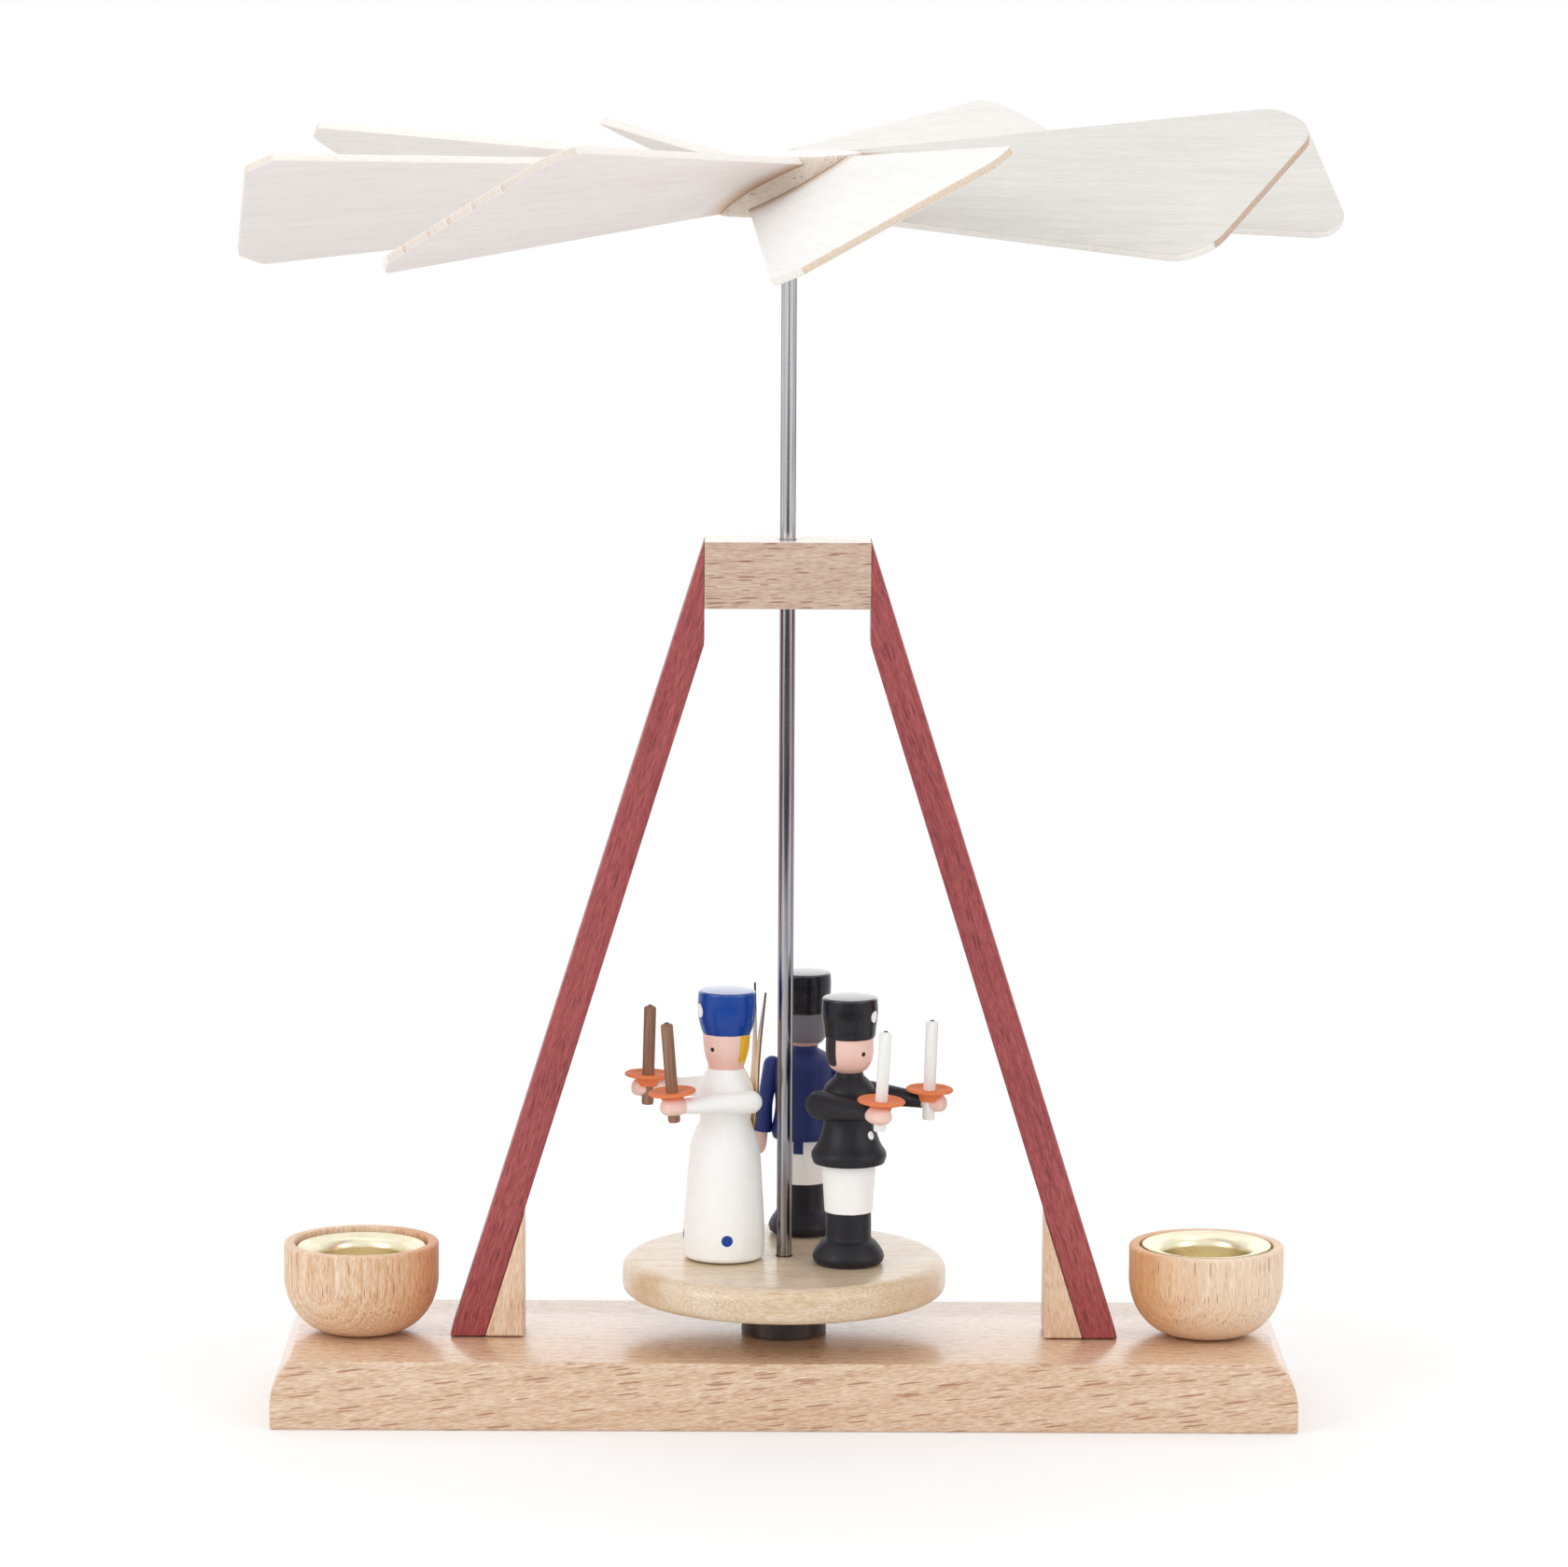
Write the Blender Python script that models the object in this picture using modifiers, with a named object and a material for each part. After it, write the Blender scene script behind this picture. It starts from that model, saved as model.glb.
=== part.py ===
"""A small one-tier candle pyramid, built piece by piece.

A beech board carries two leaning struts with a crossbeam between their tops.
A steel shaft runs down through the beam into a bearing. It carries a wheel of
pitched blades at the top and a turntable with three turned figures at the
bottom. Units are metres, +Z is up, and the origin is on the shaft's axis at
the underside of the board.
"""

import math

import bmesh
import bpy
from mathutils import Vector

for old_object in list(bpy.data.objects):
    bpy.data.objects.remove(old_object, do_unlink=True)

MM = 0.001

# Clearances
SEAT_GAP = 0.3 * MM            # between two pieces that are glued or rest on each other
BORE_GAP = 0.3 * MM            # round the shaft, a dowel or a candle in its hole
TURNING_GAP = 1.0 * MM         # under the turntable
CUT_BEYOND = 1.0 * MM          # how far a cutter runs past the face that it cuts

# Base board
BOARD_LENGTH = 200.0 * MM
BOARD_DEPTH = 55.0 * MM
BOARD_HEIGHT = 13.6 * MM
BOARD_END_ROUND_WIDTH = 3.0 * MM
BOARD_END_ROUND_HEIGHT = 8.5 * MM
BOARD_EDGE = 0.4 * MM

# Struts, wedges and crossbeam
FRAME_DEPTH = 12.6 * MM
FRAME_EDGE = 0.25 * MM
STRUT_THICKNESS = 6.5 * MM
STRUT_FOOT_X = 65.9 * MM
WEDGE_INNER_X = 51.4 * MM
BEAM_LENGTH = 32.4 * MM
BEAM_HEIGHT = 13.0 * MM
BEAM_TOP_Z = 171.5 * MM

# Shaft and its bearing
SHAFT_RADIUS = 1.5 * MM
SHAFT_POINT_LENGTH = 3.0 * MM
SHAFT_POINT_RADIUS = 0.25 * MM
BLOCK_RADIUS = 8.4 * MM
BLOCK_EDGE = 0.6 * MM
CUP_RADIUS = 4.0 * MM
CUP_HEIGHT = 4.6 * MM
DIMPLE_RADIUS = 2.6 * MM
DIMPLE_DEPTH = 3.2 * MM

# Turntable
TABLE_RADIUS = 32.0 * MM
TABLE_THICKNESS = 7.0 * MM
TABLE_TOP_ROUND = 1.6 * MM
TABLE_LOWER_ROUND = 0.7 * MM
TABLE_LIFT = 8.4 * MM          # from the board up to the turntable's underside

# Wheel
HUB_RADIUS = 14.0 * MM
HUB_HEIGHT = 11.5 * MM
HUB_EDGE = 0.4 * MM
HUB_CENTRE_Z = 240.6 * MM
HUB_BORE_DEPTH = 8.0 * MM
BLADE_TIP_RADIUS = 106.0 * MM
BLADE_ROOT_RADIUS = 8.8 * MM
BLADE_TIP_CHORD = 50.8 * MM
BLADE_ROOT_CHORD = 21.0 * MM
BLADE_CLIP_LENGTH = 5.0 * MM         # the clipped corner, along the blade
BLADE_CLIP_WIDTH = 5.8 * MM          # the clipped corner, across the blade
BLADE_THICKNESS = 1.5 * MM
BLADE_PITCH = math.radians(26.8)
FIRST_BLADE_TURN = math.radians(-80.5)
WHEEL_LEAN_X = math.radians(0.6)     # the loose bore lets the wheel hang slightly askew
WHEEL_LEAN_Y = math.radians(-1.6)
# The blades are set by hand: degrees off the even spacing, and rise of the tip
BLADE_SETTINGS = ((0.6, -0.5), (0.5, -0.1), (-1.1, -0.5), (0.1, -0.1),
                  (0.3, -1.2), (-1.4, 0.3), (-0.9, -1.1), (1.6, 0.5))

# Candle bowls, their inserts and dowels
BOWL_X = 83.7 * MM
BOWL_RADIUS = 15.3 * MM
BOWL_HEIGHT = 17.8 * MM
BOWL_FOOT_RADIUS = 7.5 * MM
BOWL_STRAIGHT_HEIGHT = 6.6 * MM      # upright part below the rim
BOWL_CURVE_END = math.radians(79.0)  # how far the curve turns in towards the foot
BOWL_RIM_WIDTH = 2.0 * MM
BOWL_RIM_EDGE = 0.4 * MM
INSERT_SEAT_DEPTH = 1.7 * MM         # from the bowl's rim down to the ledge
INSERT_FLANGE_GAP = 0.6 * MM         # round the flange
INSERT_WALL = 0.5 * MM
INSERT_HOLE_RADIUS = 8.75 * MM
INSERT_LIP = 0.5 * MM                # how far the rolled lip stands out over the hole
INSERT_DEPTH = 9.5 * MM
DOWEL_RADIUS = 3.0 * MM
DOWEL_IN_BOARD = 8.0 * MM
DOWEL_IN_BOWL = 4.0 * MM

# Figures, shared sizes
SLEEVE_RADIUS = 2.25 * MM
WRIST_RADIUS = 1.8 * MM
FIST_RADIUS = 2.25 * MM
FIST_LENGTH = 4.6 * MM
ARM_SEAT_DEPTH = 1.0 * MM            # how deep the arm's seat is cut into the chest
ARM_FLAT_DEPTH = 0.7 * MM            # how much of the sleeve's round is cut flat
SHOULDER_BACK = 2.8 * MM             # from the figure's axis back to the shoulder's centre
GRIP_OFFSET = 1.2 * MM               # how far inward of the fist's middle the candle stands
FIST_BEYOND = 0.6 * MM               # how far the fist's middle lies beyond the candle
PLATE_RADIUS = 4.65 * MM
PLATE_THICKNESS = 0.7 * MM
PLATE_DISH = 0.4 * MM                # how far the rim turns up
PLATE_HEIGHT = 2.3 * MM              # from the fist's middle up to the plate's underside
SOCKET_RADIUS = 1.85 * MM            # lower end of the cone under the plate
SOCKET_FLARE = 0.7 * MM
SOCKET_DEPTH = 1.5 * MM
CANDLE_RADIUS = 1.2 * MM
CANDLE_LENGTH = 19.9 * MM
CANDLE_BELOW_FIST = 0.7 * MM

# Smoothness
TURNED_STEPS = 24
TABLE_STEPS = 44
HUB_STEPS = 32
BOWL_STEPS = 28
PLATE_STEPS = 18
SHAFT_STEPS = 16
SMALL_STEPS = 12
CURVE_STEPS = 3

BOARD_TOP_Z = BOARD_HEIGHT
SEAT_Z = BOARD_TOP_Z + SEAT_GAP
TABLE_BOTTOM_Z = BOARD_TOP_Z + TABLE_LIFT
TABLE_TOP_Z = TABLE_BOTTOM_Z + TABLE_THICKNESS
FIGURE_Z = TABLE_TOP_Z + SEAT_GAP
BLOCK_TOP_Z = TABLE_BOTTOM_Z - TURNING_GAP
SHAFT_TOP_Z = HUB_CENTRE_Z - HUB_HEIGHT / 2 + HUB_BORE_DEPTH - SEAT_GAP
BORE_RADIUS = SHAFT_RADIUS + BORE_GAP
CANDLE_BORE_RADIUS = CANDLE_RADIUS + BORE_GAP

part_collection = bpy.data.collections.new("candle_pyramid")
cutter_collection = bpy.data.collections.new("cutters")
bpy.context.scene.collection.children.link(part_collection)
bpy.context.scene.collection.children.link(cutter_collection)


def make_material(name, colour, roughness, metallic=0.0):
    """A Principled BSDF material; colour is linear RGB."""
    material = bpy.data.materials.new(name)
    material.use_nodes = True
    shader = material.node_tree.nodes["Principled BSDF"]
    shader.inputs["Base Color"].default_value = (*colour, 1.0)
    shader.inputs["Roughness"].default_value = roughness
    shader.inputs["Metallic"].default_value = metallic
    material.diffuse_color = (*colour, 1.0)
    return material


BEECH = make_material("beech", (0.66, 0.42, 0.27), 0.55)
RED_BEECH = make_material("red_beech", (0.36, 0.08, 0.08), 0.5)
DARK_WOOD = make_material("dark_wood", (0.06, 0.03, 0.025), 0.6)
PALE_WOOD = make_material("pale_wood", (0.82, 0.75, 0.64), 0.6)
BLADE_WOOD = make_material("blade_wood", (0.84, 0.80, 0.73), 0.65)
WING_WOOD = make_material("wing_wood", (0.80, 0.66, 0.48), 0.6)
STEEL = make_material("steel", (0.42, 0.41, 0.41), 0.25, 1.0)
BRASS = make_material("brass", (0.88, 0.79, 0.52), 0.22, 1.0)
WHITE_PAINT = make_material("white_paint", (0.92, 0.92, 0.90), 0.45)
BLUE_PAINT = make_material("blue_paint", (0.02, 0.06, 0.28), 0.35)
NAVY_PAINT = make_material("navy_paint", (0.015, 0.03, 0.11), 0.4)
BLACK_PAINT = make_material("black_paint", (0.022, 0.021, 0.026), 0.4)
GREY_PAINT = make_material("grey_paint", (0.12, 0.12, 0.14), 0.45)
SKIN_PAINT = make_material("skin_paint", (0.85, 0.56, 0.50), 0.45)
ORANGE_PAINT = make_material("orange_paint", (0.83, 0.25, 0.11), 0.45)
BROWN_WOOD = make_material("brown_wood", (0.22, 0.12, 0.08), 0.6)
CANDLE_WHITE = make_material("candle_white", (0.83, 0.83, 0.81), 0.4)


# Modelling helpers

def make_empty(name, location, rotation=(0.0, 0.0, 0.0), parent=None):
    """An empty that carries the pieces mounted on it."""
    empty = bpy.data.objects.new(name, None)
    empty.location = location
    empty.rotation_euler = rotation
    empty.parent = parent
    empty.empty_display_size = 0.01
    part_collection.objects.link(empty)
    return empty


def add_object(name, data, material, parent=None, location=(0.0, 0.0, 0.0),
               rotation=(0.0, 0.0, 0.0)):
    """Link a piece, or a cutter when it has no material."""
    piece = bpy.data.objects.new(name, data)
    piece.location = location
    piece.rotation_euler = rotation
    piece.parent = parent
    if material is None:
        cutter_collection.objects.link(piece)
        piece.hide_render = True
        piece.display_type = "WIRE"
    else:
        part_collection.objects.link(piece)
        data.materials.append(material)
    return piece


def evaluated_mesh(piece):
    """The piece's mesh with its modifiers applied, in its own coordinates."""
    bpy.context.view_layer.update()
    depsgraph = bpy.context.evaluated_depsgraph_get()
    return bpy.data.meshes.new_from_object(piece.evaluated_get(depsgraph))


def shade_round(mesh, sharp_angle=math.radians(35.0)):
    """Smooth shading with sharp edges kept."""
    mesh.shade_smooth()
    mesh.set_sharp_from_angle(angle=sharp_angle)


def turned(name, profile, material, steps=TURNED_STEPS, closed=False, **placing):
    """A turned piece: the profile's (radius, height) points, top to bottom, round the Z axis."""
    mesh = bpy.data.meshes.new(name)
    points = [(radius, 0.0, height) for radius, height in profile]
    edges = [(index, index + 1) for index in range(len(points) - 1)]
    if closed:
        edges.append((len(points) - 1, 0))
    mesh.from_pydata(points, edges, [])
    piece = add_object(name, mesh, material, **placing)
    screw = piece.modifiers.new("turning", "SCREW")
    screw.axis = "Z"
    screw.angle = math.tau
    screw.steps = steps
    screw.render_steps = steps
    screw.use_merge_vertices = True
    screw.merge_threshold = 0.00001
    screw.use_smooth_shade = True
    piece.data = evaluated_mesh(piece)
    piece.modifiers.clear()
    shade_round(piece.data)
    return piece


def cut_from_outline(name, outline, thickness, material, upright=True, **placing):
    """A flat outline of (x, y) points, thickened about its plane.

    An upright outline stands in the XZ plane, another lies in the XY plane.
    """
    curve = bpy.data.curves.new(name, "CURVE")
    curve.dimensions = "2D"
    curve.fill_mode = "BOTH"
    curve.extrude = thickness / 2
    spline = curve.splines.new("POLY")
    spline.points.add(len(outline) - 1)
    for point, (x, y) in zip(spline.points, outline):
        point.co = (x, y, 0.0, 1.0)
    spline.use_cyclic_u = True
    guide = bpy.data.objects.new(name + "_outline", curve)
    cutter_collection.objects.link(guide)
    mesh = evaluated_mesh(guide)
    bpy.data.objects.remove(guide, do_unlink=True)
    solid = bmesh.new()
    solid.from_mesh(mesh)
    bmesh.ops.remove_doubles(solid, verts=solid.verts, dist=0.000001)
    if upright:
        for vertex in solid.verts:
            vertex.co = Vector((vertex.co.x, -vertex.co.z, vertex.co.y))
    bmesh.ops.recalc_face_normals(solid, faces=solid.faces)
    solid.to_mesh(mesh)
    solid.free()
    mesh.materials.clear()
    mesh.name = name
    return add_object(name, mesh, material, **placing)


def box(name, low, high, material, **placing):
    """A box between two corners."""
    mesh = bpy.data.meshes.new(name)
    solid = bmesh.new()
    bmesh.ops.create_cube(solid, size=1.0)
    centre = (Vector(low) + Vector(high)) / 2
    size = Vector(high) - Vector(low)
    for vertex in solid.verts:
        vertex.co = centre + Vector(a * b for a, b in zip(vertex.co, size))
    solid.to_mesh(mesh)
    solid.free()
    return add_object(name, mesh, material, **placing)


def rod(name, radius, bottom, top, material, steps=SMALL_STEPS, **placing):
    """A plain cylinder along Z."""
    mesh = bpy.data.meshes.new(name)
    solid = bmesh.new()
    bmesh.ops.create_cone(solid, cap_ends=True, segments=steps, radius1=radius, radius2=radius,
                          depth=top - bottom)
    bmesh.ops.translate(solid, verts=solid.verts, vec=(0.0, 0.0, (top + bottom) / 2))
    solid.to_mesh(mesh)
    solid.free()
    return add_object(name, mesh, material, **placing)


def cut(piece, cutter):
    """Cut a piece with a cutter."""
    boolean = piece.modifiers.new("cut_" + cutter.name, "BOOLEAN")
    boolean.operation = "DIFFERENCE"
    boolean.solver = "EXACT"
    boolean.object = cutter
    return boolean


def ease_edges(piece, width):
    """Break a piece's sharp edges by a small chamfer."""
    bevel = piece.modifiers.new("eased_edges", "BEVEL")
    bevel.width = width
    bevel.segments = 1
    bevel.limit_method = "ANGLE"
    bevel.angle_limit = math.radians(40.0)


def arc(centre, radius, start_degrees, end_degrees, steps=CURVE_STEPS):
    """Points on an arc in the profile plane; radius may be a pair for an ellipse."""
    radius_x, radius_y = radius if isinstance(radius, tuple) else (radius, radius)
    points = []
    for index in range(steps + 1):
        angle = math.radians(start_degrees + (end_degrees - start_degrees) * index / steps)
        points.append((centre[0] + radius_x * math.cos(angle), centre[1] + radius_y * math.sin(angle)))
    return points


def smooth_curve(points, steps=2):
    """A smooth curve through the points, with steps segments between two of them."""
    padded = [points[0]] + list(points) + [points[-1]]
    result = []
    for index in range(1, len(padded) - 2):
        before, start, end, after = (Vector(padded[index + shift]) for shift in (-1, 0, 1, 2))
        for step in range(steps):
            t = step / steps
            spot = (start * 2 + (end - before) * t
                    + (before * 2 - start * 5 + end * 4 - after) * t ** 2
                    + (start * 3 - before - end * 3 + after) * t ** 3) / 2
            result.append(tuple(spot))
    result.append(tuple(points[-1]))
    return result


def paint_by_height(piece, bands):
    """Give each face the paint of the band that its centre lies in; bands run top to bottom."""
    for _, material in bands:
        if material.name not in piece.data.materials:
            piece.data.materials.append(material)
    slots = {material.name: index for index, material in enumerate(piece.data.materials)}
    for face in piece.data.polygons:
        for lower_limit, material in bands:
            if face.center.z >= lower_limit:
                face.material_index = slots[material.name]
                break


# Base board and frame

def strut_lean():
    """Tangent of the strut's lean from upright, set by its foot and the beam's end."""
    top_x = BEAM_LENGTH / 2 + SEAT_GAP
    return (STRUT_FOOT_X - top_x) / (BEAM_TOP_Z - SEAT_Z)


def strut_width():
    """The strut's width measured level."""
    return STRUT_THICKNESS * math.sqrt(1 + strut_lean() ** 2)


def make_board():
    half_length = BOARD_LENGTH / 2
    shoulder_x = half_length - BOARD_END_ROUND_WIDTH
    shoulder_z = BOARD_HEIGHT - BOARD_END_ROUND_HEIGHT
    rounding = (BOARD_END_ROUND_WIDTH, BOARD_END_ROUND_HEIGHT)
    right_end = [(half_length, 0.0)] + arc((shoulder_x, shoulder_z), rounding, 0.0, 90.0, 6)
    left_end = [(-x, z) for x, z in reversed(right_end)]
    board = cut_from_outline("base_board", right_end + left_end, BOARD_DEPTH, BEECH)
    ease_edges(board, BOARD_EDGE)
    for side, x in (("left", -BOWL_X), ("right", BOWL_X)):
        hole = rod("board_hole_" + side, DOWEL_RADIUS + BORE_GAP,
                   BOARD_TOP_Z - DOWEL_IN_BOARD - BORE_GAP, BOARD_TOP_Z + CUT_BEYOND, None,
                   location=(x, 0.0, 0.0))
        cut(board, hole)


def make_struts():
    lean = strut_lean()
    width = strut_width()
    top_x = BEAM_LENGTH / 2 + SEAT_GAP
    inner_top_z = BEAM_TOP_Z - width / lean
    for side, sign in (("left", -1.0), ("right", 1.0)):
        outline = [(STRUT_FOOT_X, SEAT_Z), (top_x, BEAM_TOP_Z), (top_x, inner_top_z),
                   (STRUT_FOOT_X - width, SEAT_Z)]
        outline = [(sign * x, z) for x, z in outline]
        strut = cut_from_outline("strut_" + side, outline, FRAME_DEPTH, RED_BEECH)
        ease_edges(strut, FRAME_EDGE)


def make_wedges():
    lean = strut_lean()
    foot_x = STRUT_FOOT_X - strut_width() - SEAT_GAP * math.sqrt(1 + lean ** 2)
    top_z = SEAT_Z + (foot_x - WEDGE_INNER_X) / lean
    for side, sign in (("left", -1.0), ("right", 1.0)):
        outline = [(sign * WEDGE_INNER_X, SEAT_Z), (sign * foot_x, SEAT_Z), (sign * WEDGE_INNER_X, top_z)]
        wedge = cut_from_outline("wedge_" + side, outline, FRAME_DEPTH, BEECH)
        ease_edges(wedge, FRAME_EDGE)


def make_crossbeam():
    half_length = BEAM_LENGTH / 2
    half_depth = FRAME_DEPTH / 2
    beam = box("crossbeam", (-half_length, -half_depth, BEAM_TOP_Z - BEAM_HEIGHT),
               (half_length, half_depth, BEAM_TOP_Z), BEECH)
    ease_edges(beam, FRAME_EDGE)
    bore = rod("beam_bore", BORE_RADIUS, BEAM_TOP_Z - BEAM_HEIGHT - CUT_BEYOND,
               BEAM_TOP_Z + CUT_BEYOND, None)
    cut(beam, bore)


# Bearing under the turntable

def make_bearing():
    pocket_radius = CUP_RADIUS + BORE_GAP
    pocket_floor = BLOCK_TOP_Z - CUP_HEIGHT - SEAT_GAP
    block_profile = [(pocket_radius, pocket_floor), (pocket_radius, BLOCK_TOP_Z)]
    block_profile = [(0.0, pocket_floor)] + block_profile
    block_profile += arc((BLOCK_RADIUS - BLOCK_EDGE, BLOCK_TOP_Z - BLOCK_EDGE), BLOCK_EDGE,
                         90.0, 0.0)
    block_profile += [(BLOCK_RADIUS, SEAT_Z), (0.0, SEAT_Z)]
    turned("bearing_block", block_profile, DARK_WOOD)
    cup_bottom = BLOCK_TOP_Z - CUP_HEIGHT
    cup_profile = [(0.0, BLOCK_TOP_Z - DIMPLE_DEPTH), (DIMPLE_RADIUS, BLOCK_TOP_Z),
                   (CUP_RADIUS, BLOCK_TOP_Z), (CUP_RADIUS, cup_bottom), (0.0, cup_bottom)]
    turned("bearing_cup", cup_profile, BRASS, steps=SMALL_STEPS)


# Candle bowls

def bowl_profile():
    """The bowl with the ledge for the insert's flange and the well for its cup."""
    rim_z = SEAT_Z + BOWL_HEIGHT
    ledge_z = rim_z - INSERT_SEAT_DEPTH
    well_radius = INSERT_HOLE_RADIUS + INSERT_WALL + BORE_GAP
    well_floor = ledge_z - INSERT_DEPTH - INSERT_WALL
    rim_inner = BOWL_RADIUS - BOWL_RIM_WIDTH
    curve_height = (BOWL_HEIGHT - BOWL_STRAIGHT_HEIGHT) / math.sin(BOWL_CURVE_END)
    curve_width = (BOWL_RADIUS - BOWL_FOOT_RADIUS) / (1 - math.cos(BOWL_CURVE_END))
    profile = [(0.0, well_floor), (well_radius, well_floor), (well_radius, ledge_z),
               (rim_inner, ledge_z), (rim_inner, rim_z)]
    profile += arc((BOWL_RADIUS - BOWL_RIM_EDGE, rim_z - BOWL_RIM_EDGE), BOWL_RIM_EDGE, 90.0, 0.0, 2)
    profile += arc((BOWL_RADIUS - curve_width, rim_z - BOWL_STRAIGHT_HEIGHT),
                   (curve_width, curve_height), 0.0, -math.degrees(BOWL_CURVE_END), 7)
    profile += [(0.0, SEAT_Z)]
    return profile


def insert_profile():
    """The pressed insert: a flared flange, a rolled lip and a closed cup."""
    ledge_z = SEAT_Z + BOWL_HEIGHT - INSERT_SEAT_DEPTH
    flange_radius = BOWL_RADIUS - BOWL_RIM_WIDTH - INSERT_FLANGE_GAP
    flange_bottom = ledge_z + SEAT_GAP
    flange_top = flange_bottom + INSERT_WALL
    cup_outer = INSERT_HOLE_RADIUS + INSERT_WALL
    cup_floor = ledge_z - INSERT_DEPTH
    lip_radius = INSERT_HOLE_RADIUS + INSERT_LIP
    profile = [(0.0, cup_floor + INSERT_WALL), (INSERT_HOLE_RADIUS, cup_floor + INSERT_WALL)]
    profile += arc((lip_radius, flange_top - INSERT_LIP), INSERT_LIP, 180.0, 90.0)
    profile += [(flange_radius, flange_top + INSERT_WALL), (flange_radius, flange_bottom + INSERT_WALL)]
    profile += [(cup_outer, flange_bottom), (cup_outer, cup_floor), (0.0, cup_floor)]
    return profile


def make_bowls():
    dowel_bottom = BOARD_TOP_Z - DOWEL_IN_BOARD
    dowel_top = SEAT_Z + DOWEL_IN_BOWL
    for side, x in (("left", -BOWL_X), ("right", BOWL_X)):
        place = {"location": (x, 0.0, 0.0)}
        bowl = turned("candle_bowl_" + side, bowl_profile(), BEECH, steps=BOWL_STEPS, **place)
        socket = rod("bowl_hole_" + side, DOWEL_RADIUS + BORE_GAP, SEAT_Z - CUT_BEYOND,
                     dowel_top + BORE_GAP, None, **place)
        cut(bowl, socket)
        turned("candle_insert_" + side, insert_profile(), BRASS, **place)
        rod("bowl_dowel_" + side, DOWEL_RADIUS, dowel_bottom, dowel_top, BEECH, **place)


# Shaft, turntable and wheel

def make_shaft(rotor):
    tip_z = BLOCK_TOP_Z - DIMPLE_DEPTH + SEAT_GAP
    profile = [(0.0, SHAFT_TOP_Z), (SHAFT_RADIUS, SHAFT_TOP_Z),
               (SHAFT_RADIUS, tip_z + SHAFT_POINT_LENGTH), (SHAFT_POINT_RADIUS, tip_z), (0.0, tip_z)]
    turned("shaft", profile, STEEL, steps=SHAFT_STEPS, parent=rotor)


def make_turntable(rotor):
    profile = [(BORE_RADIUS, TABLE_TOP_Z)]
    profile += arc((TABLE_RADIUS - TABLE_TOP_ROUND, TABLE_TOP_Z - TABLE_TOP_ROUND),
                   TABLE_TOP_ROUND, 90.0, 0.0)
    profile += arc((TABLE_RADIUS - TABLE_LOWER_ROUND, TABLE_BOTTOM_Z + TABLE_LOWER_ROUND),
                   TABLE_LOWER_ROUND, 0.0, -90.0, 2)
    profile += [(BORE_RADIUS, TABLE_BOTTOM_Z)]
    turned("turntable", profile, PALE_WOOD, steps=TABLE_STEPS, closed=True, parent=rotor)


def blade_half_chord(radius):
    """Half the blade's width at a distance from the shaft's axis."""
    share = (radius - BLADE_ROOT_RADIUS) / (BLADE_TIP_RADIUS - BLADE_ROOT_RADIUS)
    return (BLADE_ROOT_CHORD + (BLADE_TIP_CHORD - BLADE_ROOT_CHORD) * share) / 2


def blade_outline():
    clip_radius = BLADE_TIP_RADIUS - BLADE_CLIP_LENGTH
    tip_half = BLADE_TIP_CHORD / 2 - BLADE_CLIP_WIDTH
    upper = [(BLADE_ROOT_RADIUS, BLADE_ROOT_CHORD / 2), (clip_radius, blade_half_chord(clip_radius)),
             (BLADE_TIP_RADIUS, tip_half)]
    lower = [(x, -y) for x, y in upper]
    return lower + upper[::-1]


def slot_outline():
    """The blade's root with clearance all round, run out past the hub."""
    inner = BLADE_ROOT_RADIUS - SEAT_GAP
    outer = HUB_RADIUS + CUT_BEYOND
    inner_half = blade_half_chord(inner) + SEAT_GAP
    outer_half = blade_half_chord(outer) + SEAT_GAP
    return [(inner, -inner_half), (outer, -outer_half), (outer, outer_half), (inner, inner_half)]


def make_wheel(rotor):
    wheel = make_empty("wheel_centre", (0.0, 0.0, HUB_CENTRE_Z), (WHEEL_LEAN_X, WHEEL_LEAN_Y, 0.0),
                       rotor)
    half_height = HUB_HEIGHT / 2
    bore_end = HUB_BORE_DEPTH - half_height
    edge_radius = HUB_RADIUS - HUB_EDGE
    profile = [(0.0, half_height)]
    profile += arc((edge_radius, half_height - HUB_EDGE), HUB_EDGE, 90.0, 0.0, 2)
    profile += arc((edge_radius, HUB_EDGE - half_height), HUB_EDGE, 0.0, -90.0, 2)
    profile += [(BORE_RADIUS, -half_height), (BORE_RADIUS, bore_end), (0.0, bore_end)]
    hub = turned("rotor_hub", profile, PALE_WOOD, steps=HUB_STEPS, parent=wheel)
    spacing = math.tau / len(BLADE_SETTINGS)
    for index, (turn, rise) in enumerate(BLADE_SETTINGS):
        angle = FIRST_BLADE_TURN + index * spacing + math.radians(turn)
        place = {"parent": wheel, "rotation": (BLADE_PITCH, -math.radians(rise), angle)}
        slot = cut_from_outline("hub_slot_%d" % (index + 1), slot_outline(),
                                BLADE_THICKNESS + 2 * SEAT_GAP, None, upright=False, **place)
        cut(hub, slot)
        cut_from_outline("blade_%d" % (index + 1), blade_outline(), BLADE_THICKNESS, BLADE_WOOD,
                         upright=False, **place)


# Figures

class Arm:
    """One arm that carries a candle: which side, where the candle stands and how it leans.

    The candle stands forward and out from the figure's axis. The fist and the
    shoulder may each sit a little higher than the other arm's.
    """

    def __init__(self, side, forward, out, rise=0.0, shoulder_rise=0.0, lean=0.0):
        self.side = side
        self.sign = 1.0 if side == "left" else -1.0
        self.forward = forward
        self.out = out
        self.rise = rise
        self.shoulder_rise = shoulder_rise
        self.lean = math.radians(lean)


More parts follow.
